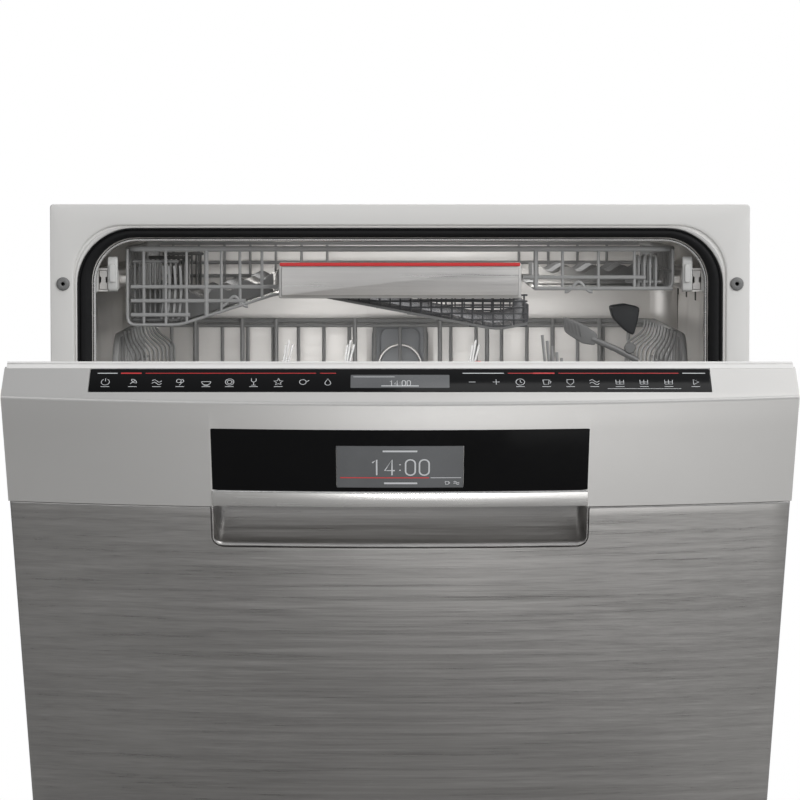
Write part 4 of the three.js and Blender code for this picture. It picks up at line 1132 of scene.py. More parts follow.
# ---- The tub ----
class Tub(bpy.types.Operator):
    """The stainless tub: arched walls with pressed panels, a filleted back wall and a dished floor"""

    bl_idname = "dishwasher.tub"
    bl_label = "Tub"

    def execute(self, context):
        half, top, back = TUB_HIGH[0] - 1, TUB_HIGH[2] - 1, TUB_HIGH[1] - 1
        foot = TUB_LOW[2] + 0.2
        shape = Shape()
        fillet_r, steps = 22.0, 6
        t = np.linspace(0, math.pi / 2, steps + 1)
        depths = [(0.0, y) for y in (11.2, 13.0, 200.0, back - fillet_r)]
        depths += [(fillet_r * (1 - math.cos(a)), back - fillet_r + fillet_r * math.sin(a)) for a in t[1:]]
        rings = []
        for inset, y in depths:
            path = doorway(half - inset, foot, top - inset, 41 - 0.6 * inset, 10)
            rings.append(np.column_stack([path[:, 0], np.full(len(path), y), path[:, 1]]))
        shape.grid(np.stack(rings))
        shape.cap(rings[-1])
        lip_out = doorway(half, foot, top, 41, 10)
        lip_in = doorway(OPENING - 15, foot, OPENING_TOP - 11, 35, 10)
        shape.grid(np.stack([
            np.column_stack([path[:, 0], np.full(len(path), y), path[:, 1]])
            for path, y in ((lip_in, 10.8), (lip_out, 11.2))
        ]))
        make("tub_wall", shape, "stainless", "cabinet", replaces=["tub_shell"], wall=0.8)
        self.pressings(half, foot, top, back)
        self.floor()
        return {"FINISHED"}

    def pressings(self, half, foot, top, back):
        """Low pillows pressed into the walls: height h (1 - x^8) (1 - z^8) over each panel."""
        shape = Shape()
        for low, high in ((-246, -33), (33, 246)):
            self.pillow(shape, (low, high), (foot + 60, top - 42),
                        lambda a, b, h: np.stack([a, back - 0.1 - h, b], -1), 1.3)
        for sign in (-1, 1):
            for low, high in ((44, 168), (186, 318), (336, 452)):
                self.pillow(shape, (low, high), (foot + 60, 726),
                            lambda a, b, h, s=sign: np.stack([s * (half - 0.1 - h), a, b], -1), 1.3)
        make("tub_pressings", shape, "stainless", "cabinet")

    def pillow(self, shape, across_span, up_span, place, height):
        t = np.sin(np.linspace(-math.pi / 2, math.pi / 2, 15))
        a = np.interp(t, (-1, 1), across_span)
        b = np.interp(np.sin(np.linspace(-math.pi / 2, math.pi / 2, 19)), (-1, 1), up_span)
        grid_a, grid_b = np.meshgrid(a, b, indexing="ij")
        s = np.interp(grid_a, across_span, (-1, 1))
        v = np.interp(grid_b, up_span, (-1, 1))
        shape.grid(place(grid_a, grid_b, height * (1 - s**8) * (1 - np.abs(v) ** 24)))

    def floor(self):
        """A shallow dish that falls towards the sump: drop 5 (1 - d / 330)^2 at distance d from the sump."""
        low, high = span("tub_floor")
        sump_low, sump_high = span("sump")
        sump = ((sump_low[0] + sump_high[0]) / 2, (sump_low[1] + sump_high[1]) / 2)
        radius = (sump_high[0] - sump_low[0]) / 2
        t = np.linspace(0, 2 * math.pi, 96, endpoint=False)
        box_x, box_y = (low[0] + 1.2, high[0] - 1.2), (low[1] + 2.2, high[1] - 1.2)
        direction = np.stack([np.cos(t), np.sin(t)], -1)
        far_low = np.subtract((box_x[0], box_y[0]), sump)
        far_high = np.subtract((box_x[1], box_y[1]), sump)
        limits = np.abs(np.where(direction > 0, far_high, far_low)) / np.maximum(np.abs(direction), 1e-9)
        reach = limits.min(1)
        share = np.linspace(0, 1, 14)[:, None] ** 1.2
        distance = radius + 0.3 + share * (reach - radius - 0.3)
        x, y = sump[0] + distance * direction[:, 0], sump[1] + distance * direction[:, 1]
        z = TUB_FLOOR + 0.3 - 2.0 * (1 - share) ** 2
        shape = Shape()
        shape.grid(np.stack([x, y, z * np.ones_like(x)], -1), around=True)
        make("tub_floor_dish", shape, "stainless", "cabinet", replaces=["tub_floor"], wall=-0.9)
        shape = Shape()
        hub = ((0.0), 247.0)
        turned(shape, "z", hub, [(0, TUB_FLOOR - 1), (22, TUB_FLOOR - 1), (22, TUB_FLOOR + 1.4),
                                 (15, TUB_FLOOR + 4),
                                 (13.5, TUB_FLOOR + 11.4), (12.5, TUB_FLOOR + 12), (0, TUB_FLOOR + 12)],
                                 steps=32)
        make("arm_socket", shape, "grey_plastic", "cabinet")


class TubFittings(bpy.types.Operator):
    """What is fixed in the tub: lamps and sprinkler under its roof, water duct, filter, sump and salt cap"""

    bl_idname = "dishwasher.tub_fittings"
    bl_label = "Tub fittings"

    def execute(self, context):
        roof = TUB_HIGH[2] - 1
        for name, x in (("left", -106.0), ("right", 106.0)):
            shape = Shape()
            pad(shape, (x - 20, LAMP_Y - 10, roof - 7), (x + 20, LAMP_Y + 10, roof - 0.2), edge=1.8, corner=6)
            make(f"lamp_housing_{name}", shape, "grey_plastic", "cabinet")
            shape = Shape()
            pad(shape, (x - 15, LAMP_Y - 7, roof - 8.4), (x + 15, LAMP_Y + 7, roof - 6.6), edge=0.8, corner=5)
            make(f"lamp_lens_{name}", shape, "lamp_lens", "cabinet")
        self.duct()
        self.sprinkler(roof)
        self.drain()
        return {"FINISHED"}

    def duct(self):
        """The riser on the back wall: a flat tube bent over as an arch, with a docking port and clips."""
        low, high = span("spray_duct")
        shape, face = Shape(), high[1]
        port = (0, high[2] - 47)
        path = doorway(23, low[2] + 4, high[2] - 6, 12, 10)
        points = np.column_stack([path[:, 0], np.full(len(path), face - 5.6), path[:, 1]])
        swept(shape, points, rounded(-4.6, 4.6, -4.6, 4.6, 3.0), up=(0, 1, 0))
        slab(shape, "y", rounded(-25, 25, low[2] + 30, high[2] - 3, 8, 4), face - 7.5, face, edge=1.4)
        depth = face - low[1]
        turned(shape, "y", port, [(0, face), (19.4, face), (19.4, face - 0.7 * depth),
                                  (17, face - 0.78 * depth),
                                  (0, face - 0.86 * depth)], 40)
        for z in (200, 330, 460, 590):
            pad(shape, (-27, face - 7, z), (27, face, z + 9), edge=1.2, corner=2, axis="y")
        make("water_duct", shape, "duct_plastic", "cabinet", replaces=["spray_duct"])
        shape = Shape()
        turned(shape, "y", port, [(19.5, face - 4), (22, face - 4), (22, face - 0.8 * depth),
                                  (21.4, face - depth + 0.4),
                                  (20.2, face - depth + 0.4), (19.5, face - 0.8 * depth), (19.5, face - 4)],
                                  48)
        make("duct_ring", shape, "stainless", "cabinet")

    def sprinkler(self, roof):
        """The small spray head under the middle of the roof."""
        shape = Shape()
        turned(shape, "z", (0, 247), [(0, roof - 0.2), (16, roof - 0.2), (15, roof - 3), (7, roof - 5),
                                      (6.5, roof - 8),
                                      (13, roof - 9), (14, roof - 10.5), (11, roof - 11.8), (0, roof - 12.4)],
                                      32)
        for turn in np.linspace(0, 2 * math.pi, 8, endpoint=False):
            turned(shape, "z", (9 * math.cos(turn), 247 + 9 * math.sin(turn)),
                   [(0, roof - 11.5), (1.4, roof - 11.5), (1.1, roof - 12.9), (0, roof - 12.9)], 10)
        make("roof_sprinkler", shape, "grey_plastic", "cabinet")

    def drain(self):
        """The sump well, the filter standing in it with its handle and fine mesh, and the salt cap."""
        low, high = span("sump")
        centre, radius = ((low[0] + high[0]) / 2, (low[1] + high[1]) / 2), (high[0] - low[0]) / 2
        shape = Shape()
        turned(shape, "z", centre, [(radius, high[2] - 0.4), (radius, low[2] + 6), (radius - 6, low[2]),
                                    (0, low[2]),
                                    (0, low[2] + 3), (radius - 8, low[2] + 3), (radius - 3, low[2] + 8),
                                    (radius - 3, high[2] - 2.6), (radius - 2.2, high[2] - 0.4),
                                    (radius, high[2] - 0.4)], 48)
        make("sump_well", shape, "dark_plastic", "cabinet", replaces=["sump"])
        low, high = span("filter_cartridge")
        plate = TUB_FLOOR - 1
        shape = Shape()
        turned(shape, "z", centre, [(0, low[2]), (38, low[2]), (40, low[2] + 2), (40, plate - 4),
                                    (radius - 5, plate - 3.2),
                                    (radius - 4, plate - 2), (radius - 4.6, plate - 0.4),
                                    (radius - 12, plate),
                                    (34, plate - 0.6), (31, plate - 2.5), (0, plate - 2.5)], 48)
        for turn in np.linspace(0, 2 * math.pi, 24, endpoint=False):
            start, end = np.array([math.cos(turn), math.sin(turn)]), radius - 8
            path = [(*(np.array(centre) + start * 36), plate + 0.1),
                    (*(np.array(centre) + start * end), plate + 0.1)]
            ribbon(shape, path, 1.4, 1.0, (0, 0, 1))
        pad(shape, (centre[0] - 26, centre[1] - 4, plate - 3), (centre[0] + 26, centre[1] + 4, high[2]),
            edge=2.2, corner=3)
        make("filter_unit", shape, "grey_plastic", "filter", replaces=["filter_cartridge"])
        low, high = span("salt_cap")
        centre, radius = ((low[0] + high[0]) / 2, (low[1] + high[1]) / 2), (high[0] - low[0]) / 2
        shape = Shape()
        turned(shape, "z", centre, [(0, low[2]), (radius - 0.6, low[2]), (radius, low[2] + 0.8),
                                    (radius, high[2] - 5.4),
                                    (radius - 1.4, high[2] - 4), (radius - 8, high[2] - 4),
                                    (radius - 9, high[2] - 4.8),
                                    (0, high[2] - 4.8)], 48)
        pad(shape, (centre[0] - 24, centre[1] - 4, high[2] - 6), (centre[0] + 24, centre[1] + 4, high[2]),
            edge=1.6, corner=3)
        make("salt_lid", shape, "pale_plastic", "salt_cap", replaces=["salt_cap"])


# ---- The outside and the works ----
class Casing(bpy.types.Operator):
    """The outer sheets with their pressed ribs and screws, the felt over the tub, the plinth and the feet"""

    bl_idname = "dishwasher.casing"
    bl_label = "Casing"

    def execute(self, context):
        for name, sign in (("left", -1), ("right", 1)):
            low, high = span(f"side_panel_{name}")
            self.sheet(f"side_sheet_{name}", f"side_panel_{name}", (low[1], high[1]), (low[2], high[2]),
                       lambda a, b, h, s=sign: np.stack([s * (FRONT_HIGH[0] - 0.05 - h), a, b], -1), -sign)
        low, high = span("rear_panel")
        self.sheet("rear_sheet", "rear_panel", (low[0], high[0]), (low[2], high[2]),
                   lambda a, b, h: np.stack([a, high[1] - 0.05 - h, b], -1), 1)
        self.screws()
        self.felt()
        self.plinth()
        self.feet()
        return {"FINISHED"}

    def sheet(self, name, replaced, across_span, up_span, place, outward):
        """A flat sheet with two sunk fields: depth 2.2 times eased edges inside each field."""
        a = np.linspace(*across_span, 97)
        b = np.linspace(*up_span, 121)
        grid_a, grid_b = np.meshgrid(a, b, indexing="ij")
        sunk = np.zeros_like(grid_a)
        low_a, high_a = across_span[0] + 46, across_span[1] - 46
        for low_b, high_b in ((up_span[0] + 70, up_span[0] + 320), (up_span[0] + 372, up_span[1] - 60)):
            field = np.ones_like(grid_a)
            for value, start, end in ((grid_a, low_a, high_a), (grid_b, low_b, high_b)):
                field *= ease((value - start) / 14) * ease((end - value) / 14)
            sunk += 2.0 * field
        shape = Shape()
        shape.grid(place(grid_a, grid_b, sunk))
        make(name, shape, "zinc_sheet", "cabinet", replaces=[replaced], wall=0.7 * outward)

    def screws(self):
        """Pan-head screws with a cross slot round the rear sheet."""
        shape = Shape()
        low, high = span("rear_panel")
        heights = np.linspace(low[2] + 24, high[2] - 24, 4)
        places = [(x, z) for x in (low[0] + 16, high[0] - 16) for z in heights]
        places += [(x, z) for x in (-120, 120) for z in (low[2] + 14, high[2] - 14)]
        for x, z in places:
            y = high[1] - 1.0
            turned(shape, "y", (x, z), [(0, y), (4.2, y), (4.2, y + 0.3), (3.2, y + 0.8), (1.2, y + 0.95),
                                        (0, y + 0.95)], 18)
        make("rear_screws", shape, "zinc_sheet", "cabinet")

    def felt(self):
        """The sound-damping mat laid over the tub: a thick sheet, wavy by less than a millimetre."""
        shape = Shape()
        path = doorway(TUB_HIGH[0] + 4.5, 330, TUB_HIGH[2] + 5.5, 44, 10)
        ys = np.linspace(30, BACK - 26, 40)
        along = np.arange(len(path))[None, :]
        wave = 0.7 * np.sin(ys[:, None] / 17) * np.cos(along * 1.3)
        normal = np.gradient(path, axis=0)
        size = np.linalg.norm(normal, axis=1, keepdims=True)
        normal = np.column_stack([-normal[:, 1], normal[:, 0]]) / size
        points = path[None] + normal[None] * wave[..., None]
        shape.grid(np.stack([points[..., 0], np.broadcast_to(ys[:, None], wave.shape), points[..., 1]], -1))
        make("sound_mat", shape, "felt", "cabinet", wall=-5.0)

    def plinth(self):
        """The kick plate: a folded sheet with a return at its foot and its head."""
        low, high = span("kick_plate")
        outline = np.array([(low[1], low[2]), (low[1], high[2]), (high[1] + 14, high[2]),
                            (high[1] + 14, high[2] - 1.2),
                            (low[1] + 1.2, high[2] - 1.2), (low[1] + 1.2, low[2] + 1.2),
                            (high[1] + 10, low[2] + 1.2),
                            (high[1] + 10, low[2])])
        shape = Shape()
        slab(shape, "x", outline, low[0], high[0])
        make("plinth", shape, "dark_plastic", "cabinet", replaces=["kick_plate"], bevel=0.4)

    def feet(self):
        """Adjustable feet: a ribbed disc on a threaded stem."""
        for name in ("foot_front_left", "foot_front_right", "foot_rear"):
            low, high = span(name)
            centre, radius = ((low[0] + high[0]) / 2, (low[1] + high[1]) / 2), (high[0] - low[0]) / 2
            shape = Shape()
            disc = [(0, 0), (radius - 1, 0), (radius, 1), (radius, 6), (radius - 1.5, 8), (11, 9), (6, 9.4)]
            thread = [(6.2 - 0.9 * (i % 2), 9.4 + 0.9 * i) for i in range(1, 14)]
            turned(shape, "z", centre, disc + thread + [(0, high[2])], 36)
            for turn in np.linspace(0, 2 * math.pi, 6, endpoint=False):
                side = np.array([math.cos(turn), math.sin(turn)])
                start, end = np.array(centre) + 10 * side, np.array(centre) + (radius - 2) * side
                ribbon(shape, [(*start, 8.6), (*end, 8.0)], 2.0, 1.6, (0, 0, 1))
            make(f"{name}_disc", shape, "dark_plastic", "cabinet", replaces=[name])


class Works(bpy.types.Operator):
    """The works in the base: tray, pumps, softener, inlet, hinge brackets and balance springs"""

    bl_idname = "dishwasher.works"
    bl_label = "Works"

    def execute(self, context):
        for name, paint in (("base_tray", "dark_plastic"), ("water_softener", "pale_plastic"),
                            ("water_inlet", "pale_plastic"), ("hinge_bracket_left", "zinc_sheet"),
                            ("hinge_bracket_right", "zinc_sheet")):
            repaint(name, paint)
        self.pump()
        self.springs()
        return {"FINISHED"}

    def pump(self):
        """The circulation pump: a ribbed motor, a bell housing and its outlet."""
        low, high = span("circulation_pump")
        centre = (330.0, (low[2] + high[2]) / 2 + 0.0)
        shape = Shape()
        ribs = [(36 - 1.4 * (i % 2), low[0] + 14 + 6 * i) for i in range(14)]
        motor = [(0, low[0]), (26, low[0]), (30, low[0] + 6)]
        bell = [(36, -44), (36, -30), (44, -28), (46, -22), (46, -6), (42, 0), (0, 0)]
        turned(shape, "x", centre, motor + ribs + bell, 40)
        foot = low[2]
        pad(shape, (-120, 305, foot), (-60, 355, foot + 26), edge=2, corner=6)
        make("wash_pump", shape, "dark_plastic", "cabinet", replaces=["circulation_pump"])
        shape = Shape()
        turned(shape, "x", (150, 66), [(0, 150), (20, 150), (24, 154), (24, 190), (28, 192), (28, 204),
                                       (20, 210), (0, 210)], 32)
        make("drain_pump", shape, "grey_plastic", "cabinet")

    def springs(self):
        """Balance springs: a helix of pitch 4 with hooks at both ends."""
        for name in ("left", "right"):
            low, high = span(f"balance_spring_{name}")
            x, z, radius = (low[0] + high[0]) / 2, (low[2] + high[2]) / 2, (high[0] - low[0]) / 2 - 1.3
            turns = 44
            t = np.linspace(0, 2 * math.pi * turns, 14 * turns)
            y = np.linspace(low[1] + 9, high[1] - 9, len(t))
            coil = np.column_stack([x + radius * np.cos(t), y, z + radius * np.sin(t)])
            ends = [np.array([[x, low[1] + 1.4, z], [x, low[1] + 7, z]]),
                    np.array([[x, high[1] - 7, z], [x, high[1] - 1.4, z]])]
            shape = Shape()
            wire(shape, np.concatenate([ends[0], coil, ends[1]]), 1.2, up=(0.3, 1, 0.2), sides=6)
            make(f"spring_coil_{name}", shape, "zinc_sheet", "cabinet",
                 replaces=[f"balance_spring_{name}"])


# ---- Racks ----
def along_y(x, z, low, high):
    return np.array([(x, low, z), (x, high, z)])


def along_x(y, z, low, high):
    return np.array([(low, y, z), (high, y, z)])


def wires(shape, paths, radius, up=(0.31, 0.17, 0.93), sides=8):
    for path in paths:
        wire(shape, path, radius, up, sides=sides)


def rack(shape, sizes, box, front_top, pitch, levels, across):
    """An open wire basket: a rim that dips at the front, loops at each level, and U-shaped wires."""
    (half, front, back), (floor, top) = box
    rim, wire_r = sizes.rim_wire / MM, sizes.rack_wire / MM
    dip = 34
    loop = [(-half, back, top), (half, back, top), (half, front + dip, top), (half, front, front_top),
            (-half, front, front_top), (-half, front + dip, top)]
    wire(shape, fillet(loop, 16, 6, closed=True), rim, (0.05, 0.02, 1), closed=True, sides=10)
    for z in levels:
        loop = rounded(-half + 2, half - 2, front + 2, back - 2, 18, 6)
        wire(shape, np.column_stack([loop, np.full(len(loop), z)]), wire_r + 0.3, closed=True)
    drop = 26
    for x in np.linspace(-half + pitch, half - pitch, int(2 * half / pitch) - 1):
        path = [(x, front, front_top), (x, front + 1, floor + drop), (x, front + drop, floor),
                (x, back - drop, floor), (x, back - 1, floor + drop), (x, back, top)]
        wire(shape, fillet(path, 12, 4), wire_r, up=(1, 0, 0))
    side = [(half - drop, floor + 1.2), (half - 1, floor + drop), (half, top)]
    outline = np.array([(-x, z) for x, z in reversed(side)] + side)
    for y in across:
        path = np.column_stack([outline[:, 0], np.full(len(outline), y), outline[:, 1]])
        wire(shape, fillet(path, 10, 4), wire_r, up=(0, 1, 0))


def hairpins(shape, x, z, low, high, count, height, radius, lean=0.0, gap=11.0):
    """A row of upside-down U wires along y: each rises height, turns over a half circle and comes back."""
    for y in np.linspace(low, high - gap, count):
        turn = arc(y + gap / 2, height - gap / 2, gap / 2, 180, 0, 6)
        path = np.concatenate([[(y, 0)], turn, [(y + gap, 0)]])
        points = np.column_stack([x + lean * path[:, 1] / height, path[:, 0], z + path[:, 1]])
        wire(shape, points, radius, up=(1, 0, 0.001))


class Rails(bpy.types.Operator):
    """The telescopic rails on the tub's walls: sliding members with ball grooves, and end stops"""

    bl_idname = "dishwasher.rails"
    bl_label = "Rails"

    def execute(self, context):
        for level in ("upper", "middle"):
            for name, sign in (("left", -1), ("right", 1)):
                repaint(f"{level}_rail_{name}", "stainless")
                low, high = span(f"{level}_slider_{name}")
                shape = Shape()
                z0, z1 = low[2], high[2]
                groove = [(0, 0), (6.7, 0), (6.7, 5.4), (5.5, 6.4), (5.5, z1 - z0 - 6.4),
                          (6.7, z1 - z0 - 5.4), (6.7, z1 - z0),
                          (0, z1 - z0), (0, z1 - z0 - 5), (1.4, z1 - z0 - 6.2), (1.4, 6.2), (0, 5)]
                outline = np.array(groove) + (low[0], z0)
                slab(shape, "y", outline, low[1], high[1])
                make(f"{level}_rail_member_{name}", shape, "stainless", f"{level}_sliders",
                     replaces=[f"{level}_slider_{name}"], bevel=0.3)
                rail_low, rail_high = span(f"{level}_rail_{name}")
                member_out = max(abs(low[0]), abs(high[0]))
                shape = Shape()
                low_x, high_x = sorted((sign * (member_out + 0.7), sign * (member_out + 9)))
                pad(shape, (low_x, rail_low[1] - 4, rail_low[2] - 1.4),
                    (high_x, rail_low[1] - 0.3, rail_high[2] + 1.4), 1.2, 3, "y")
                make(f"{level}_rail_stop_{name}", shape, "pale_plastic", "cabinet")
        return {"FINISHED"}


DRAWER_LOW, DRAWER_HIGH = span("drawer_frame")
RUNNER_OUT = DRAWER_HIGH[0]
DRAWER_FRONT, DRAWER_BACK, DRAWER_TOP = 27.5, 452.5, DRAWER_HIGH[2] - 2.5
DRAWER_HALF = 235.1


class Drawer(bpy.types.Operator):
    """The top drawer: wire frame, cutlery insert, mesh tray, shelves, levers and the handle"""

    bl_idname = "dishwasher.drawer"
    bl_label = "Drawer"

    def execute(self, context):
        self.sizes = context.scene.dishwasher_sizes
        self.frame_wires()
        self.runners()
        self.insert()
        self.mesh()
        self.handle()
        self.small_parts()
        return {"FINISHED"}

    def frame_wires(self):
        rim, thick, fine = (getattr(self.sizes, n) / MM for n in ("rim_wire", "rack_wire", "fine_wire"))
        front, back, top, half = DRAWER_FRONT, DRAWER_BACK, DRAWER_TOP, DRAWER_HALF
        shape = Shape()
        loop = rounded(-half, half, front, back, 12, 6)
        wire(shape, np.column_stack([loop, np.full(len(loop), top)]), rim, closed=True, sides=10)
        left = [(-half, top), (-half, 711), (-190, 711), (-106, 738), (-68, 738)]
        right = [(half, top), (half, 742.5), (116, 742.5)]
        for y in np.linspace(front, back, 18):
            for profile in (left, right):
                path = np.array([(x, y, z) for x, z in profile])
                wire(shape, fillet(path, 7, 4), fine, up=(0, 1, 0))
        for x, z in ((-235, 760), (-235, 731.7), (-222, 711), (-204, 711), (-186, 712.4), (-160, 720.8),
                     (-133, 729.4),
                     (-108, 737.4), (116, 742.5), (140, 742.5), (171, 742.5), (202, 742.5), (235, 757)):
            wires(shape, [along_y(x, z, front, back)], fine)
        verticals = [(x, front, self.floor_at(x)) for x in (-221, -202, -184, -154, -138, -119, 140, 171,
                                                            202)]
        verticals += [(x, back, self.floor_at(x)) for x in np.arange(-221, -70, 25.0)]
        verticals += [(x, back, self.floor_at(x)) for x in np.arange(116, 230, 28.5)]
        wires(shape, [np.array([(x, y, z), (x, y, top)]) for x, y, z in verticals], fine)
        wires(shape, [np.array([(x, front, self.floor_at(x)), (x, front, top)]) for x in (-167.0, 117.0)],
              thick + 0.3)
        for z, end in ((743.8, -105), (731.7, -133), (719.6, -181)):
            wires(shape, [along_x(front, z, -232, end)], thick)
        wires(shape, [along_x(back, z, -232, 232) for z in (757, 744)], thick)
        wires(shape, [along_x(front, 752, 106, 212), along_x(front, 742.5, 116, half)], thick)
        for x, z, reach in ((-143, 731, 9), (154, 743.5, 9)):
            bump = [(x - reach - 3, front, z - 4), (x - reach, front, z - 4), (x, front, z + 6),
                    (x + reach, front, z - 4),
                    (x + reach + 3, front, z - 4)]
            wire(shape, fillet(np.array(bump), 4, 4), fine, up=(0, 1, 0))
        make("drawer_wires", shape, "rack_wire", "drawer", replaces=["drawer_frame"])

    def floor_at(self, x):
        """Height of the drawer's floor at x: flat, rising to the middle on the left, level on the right."""
        return float(np.interp(x, [-235, -190, -106, -65, 112, 116], [711, 711, 738, 738, 742.5, 742.5]))

    def runners(self):
        for name, sign in (("left", -1), ("right", 1)):
            shape = Shape()
            low, high = sorted((sign * (RUNNER_OUT - 9), sign * RUNNER_OUT))
            outline = rounded(low, high, 741.2, 758.8, 1.6, 3)
            slab(shape, "y", outline, 24.2, 449.8, edge=0.8)
            for y in (40, 400):
                a, b = sorted((sign * (DRAWER_HALF + 1), sign * (RUNNER_OUT - 8)))
                pad(shape, (a, y, 746), (b, y + 12, 754), 0.8, 2, "x")
            make(f"drawer_runner_{name}", shape, "stainless", "drawer")

    def insert(self):
        """The ribbed cutlery insert on the left: a low tray, ribbed end walls and scalloped cross ribs."""
        shape = Shape()
        for y in (33.0, 240.0, 446.0):
            for x in np.arange(-230, -192, 4.4):
                pad(shape, (x, y - 1, 713.5), (x + 1.9, y + 1.4, 766), 0.5, 0.8, "z")
            for z in (714, 764):
                pad(shape, (-231, y - 1.4, z), (-191, y + 1.8, z + 3), 0.8, 1.2, "x")
        s = np.linspace(-231, -110, 61)
        for y in np.arange(48, 440, 13.0):
            top = np.interp(s, (-231, -190, -110), (737, 733,
                                                    752)) + 3.2 * np.cos((s + 231) * 2 * math.pi / 24)
            base = np.interp(s, (-235, -190, -106), (713.6, 713.6, 740.4))
            outline = np.concatenate([np.column_stack([s, base]),
                                      np.column_stack([s, np.maximum(top, base + 3)])[::-1]])
            slab(shape, "y", outline, y, y + 1.6)
        for x, z in ((-231, 713.4), (-190, 713.8), (-150, 726.6), (-111, 739.2)):
            pad(shape, (x - 1.2, 34, z), (x + 1.2, 446, z + 2.8), 0.8, 1.0, "y")
        make("cutlery_insert", shape, "grey_plastic", "drawer", bevel=0.25)
        shape = Shape()
        for i in range(4):
            x = -206 + 5.0 * i
            t = np.linspace(0, 1, 12)
            path = np.column_stack([x + 2.2 * np.sin(t * 2.6), np.full(12, 30.6), 716 + 46 * t])
            ribbon(shape, path, 1.9, 0.9, (0, 1, 0))
        make("insert_springs", shape, "rack_wire", "drawer")

    def mesh(self):
        """The slanted mesh tray: bars both ways on its floor and on its two end walls."""
        low, high = span("mesh_tray")
        left, right = low[0], high[0]
        keel, deep = 84.0, low[2] + 1.8
        top = high[2] - 1.4

        def floor(x):
            return np.interp(x, (left, keel, right), (top - 1.4, deep, deep + 5))

        shape = Shape()
        xs = np.arange(left + 3, right - 1, 8.9)
        for y in (low[1] + 1.4, high[1] - 1.4):
            for x in xs:
                pad(shape, (x - 0.8, y - 1.0, float(floor(x))), (x + 0.8, y + 1.0, top), 0.4, 0.5)
            for z in np.arange(top, deep, -5.3):
                inside = xs[floor(xs) <= z + 1.5]
                if len(inside) > 1:
                    end = right if z < deep + 6 else right - 1
                    pad(shape, (inside[0] - 3, y - 1.3, z - 0.8),
                        (min(inside[-1] + 3, end), y + 1.3, z + 0.8), 0.5, 0.6, "x")
        line_x = np.array([left, keel, right - 1.4, right - 1.4])
        line_z = np.array([top - 1.2, deep, deep + 5, top - 8])
        for y in np.arange(low[1] + 1.4, high[1] - 1, 9.2):
            path = np.column_stack([line_x, np.full(4, y), line_z])
            ribbon(shape, fillet(path, 5, 3), 1.5, 2.6, (0, 1, 0.001))
        for x in xs:
            pad(shape, (x - 0.8, low[1] + 1, float(floor(x)) - 0.9),
                (x + 0.8, high[1] - 1, float(floor(x)) + 0.9), 0.4, 0.5, "y")
        make("mesh_basket", shape, "mesh_plastic", "drawer", replaces=["mesh_tray"])
        shape = Shape()
        for y in (low[1] + 0.5, high[1] - 0.5):
            path = np.column_stack([line_x[:3], np.full(3, y), line_z[:3] - (0.2, 0.4, 0.2)])
            ribbon(shape, fillet(path, 10, 5), 2.2, 3.4, (0, 1, 0.001))
        make("mesh_basket_edge", shape, "grey_plastic", "drawer")

    def handle(self):
        low, high = span("drawer_handle")
        shape = Shape()
        pad(shape, (low[0], low[1] + 1.6, low[2]), (high[0], high[1], high[2]), edge=1.0, corner=2.0,
            axis="y")
        make("handle_body", shape, "console_silver", "drawer", replaces=["drawer_handle"])
        shape = Shape()
        pad(shape, (low[0] + 2.2, low[1], low[2] + 1.8), (high[0] - 2.2, low[1] + 3.4, high[2] - 3.6), 0.7,
            1.0, "y")
        make("handle_plate", shape, "handle_steel", "drawer")
        shape = Shape()
        pad(shape, (low[0] + 1.0, low[1] + 0.6, high[2] - 3.2), (high[0] - 1.0, low[1] + 3.4, high[2] - 0.2),
            0.6, 0.8, "y")
        make("handle_line", shape, "accent", "drawer")

    def small_parts(self):
        """The shelves and hairpin holders on the right, and the release levers on the runners."""
        shape = Shape()
        s = np.linspace(122, 226, 53)
        for y in (96.0, 168.0, 260.0, 352.0):
            top = 757 + 3.0 * np.cos((s - 122) * 2 * math.pi / 26)
            outline = np.concatenate([np.column_stack([s, np.full(53, 744.6)]),
                                      np.column_stack([s, top])[::-1]])
            slab(shape, "y", outline, y, y + 2.2)
            pad(shape, (120, y - 6, 744.4), (228, y + 8, 746.6), 0.8, 3.0)
        make("shelf_combs", shape, "grey_plastic", "drawer", bevel=0.25)
        shape = Shape()
        for x in (206.0, 211.0, 216.0, 221.0):
            path = np.array([(x, 34, 744), (x, 34, 770), (x, 62, 770), (x, 62, 744)])
            wire(shape, fillet(path, 6, 5), 1.2, up=(1, 0, 0))
        wires(shape, [along_x(36, 748, 196, 226), along_x(60, 748, 196, 226)], 1.2)
        make("hairpin_holder", shape, "rack_wire", "drawer")
        for name, sign in (("left", -1), ("right", 1)):
            outline = np.array([(13, 741), (19, 739.5), (23, 742), (23, 762), (20.5, 769), (16, 770.5),
                                (12.5, 767), (11, 752)])
            shape = Shape()
            a, b = sorted((sign * 242.4, sign * 251.0))
            slab(shape, "x", fillet(outline, 2.2, 3, closed=True), a, b, edge=1.2)
            pad(shape, (min(a, b) + 1.6, 9.4, 748), (max(a, b) - 1.6, 14, 764), 1.0, 1.8, "y")
            make(f"release_lever_{name}", shape, "pale_plastic", "drawer")


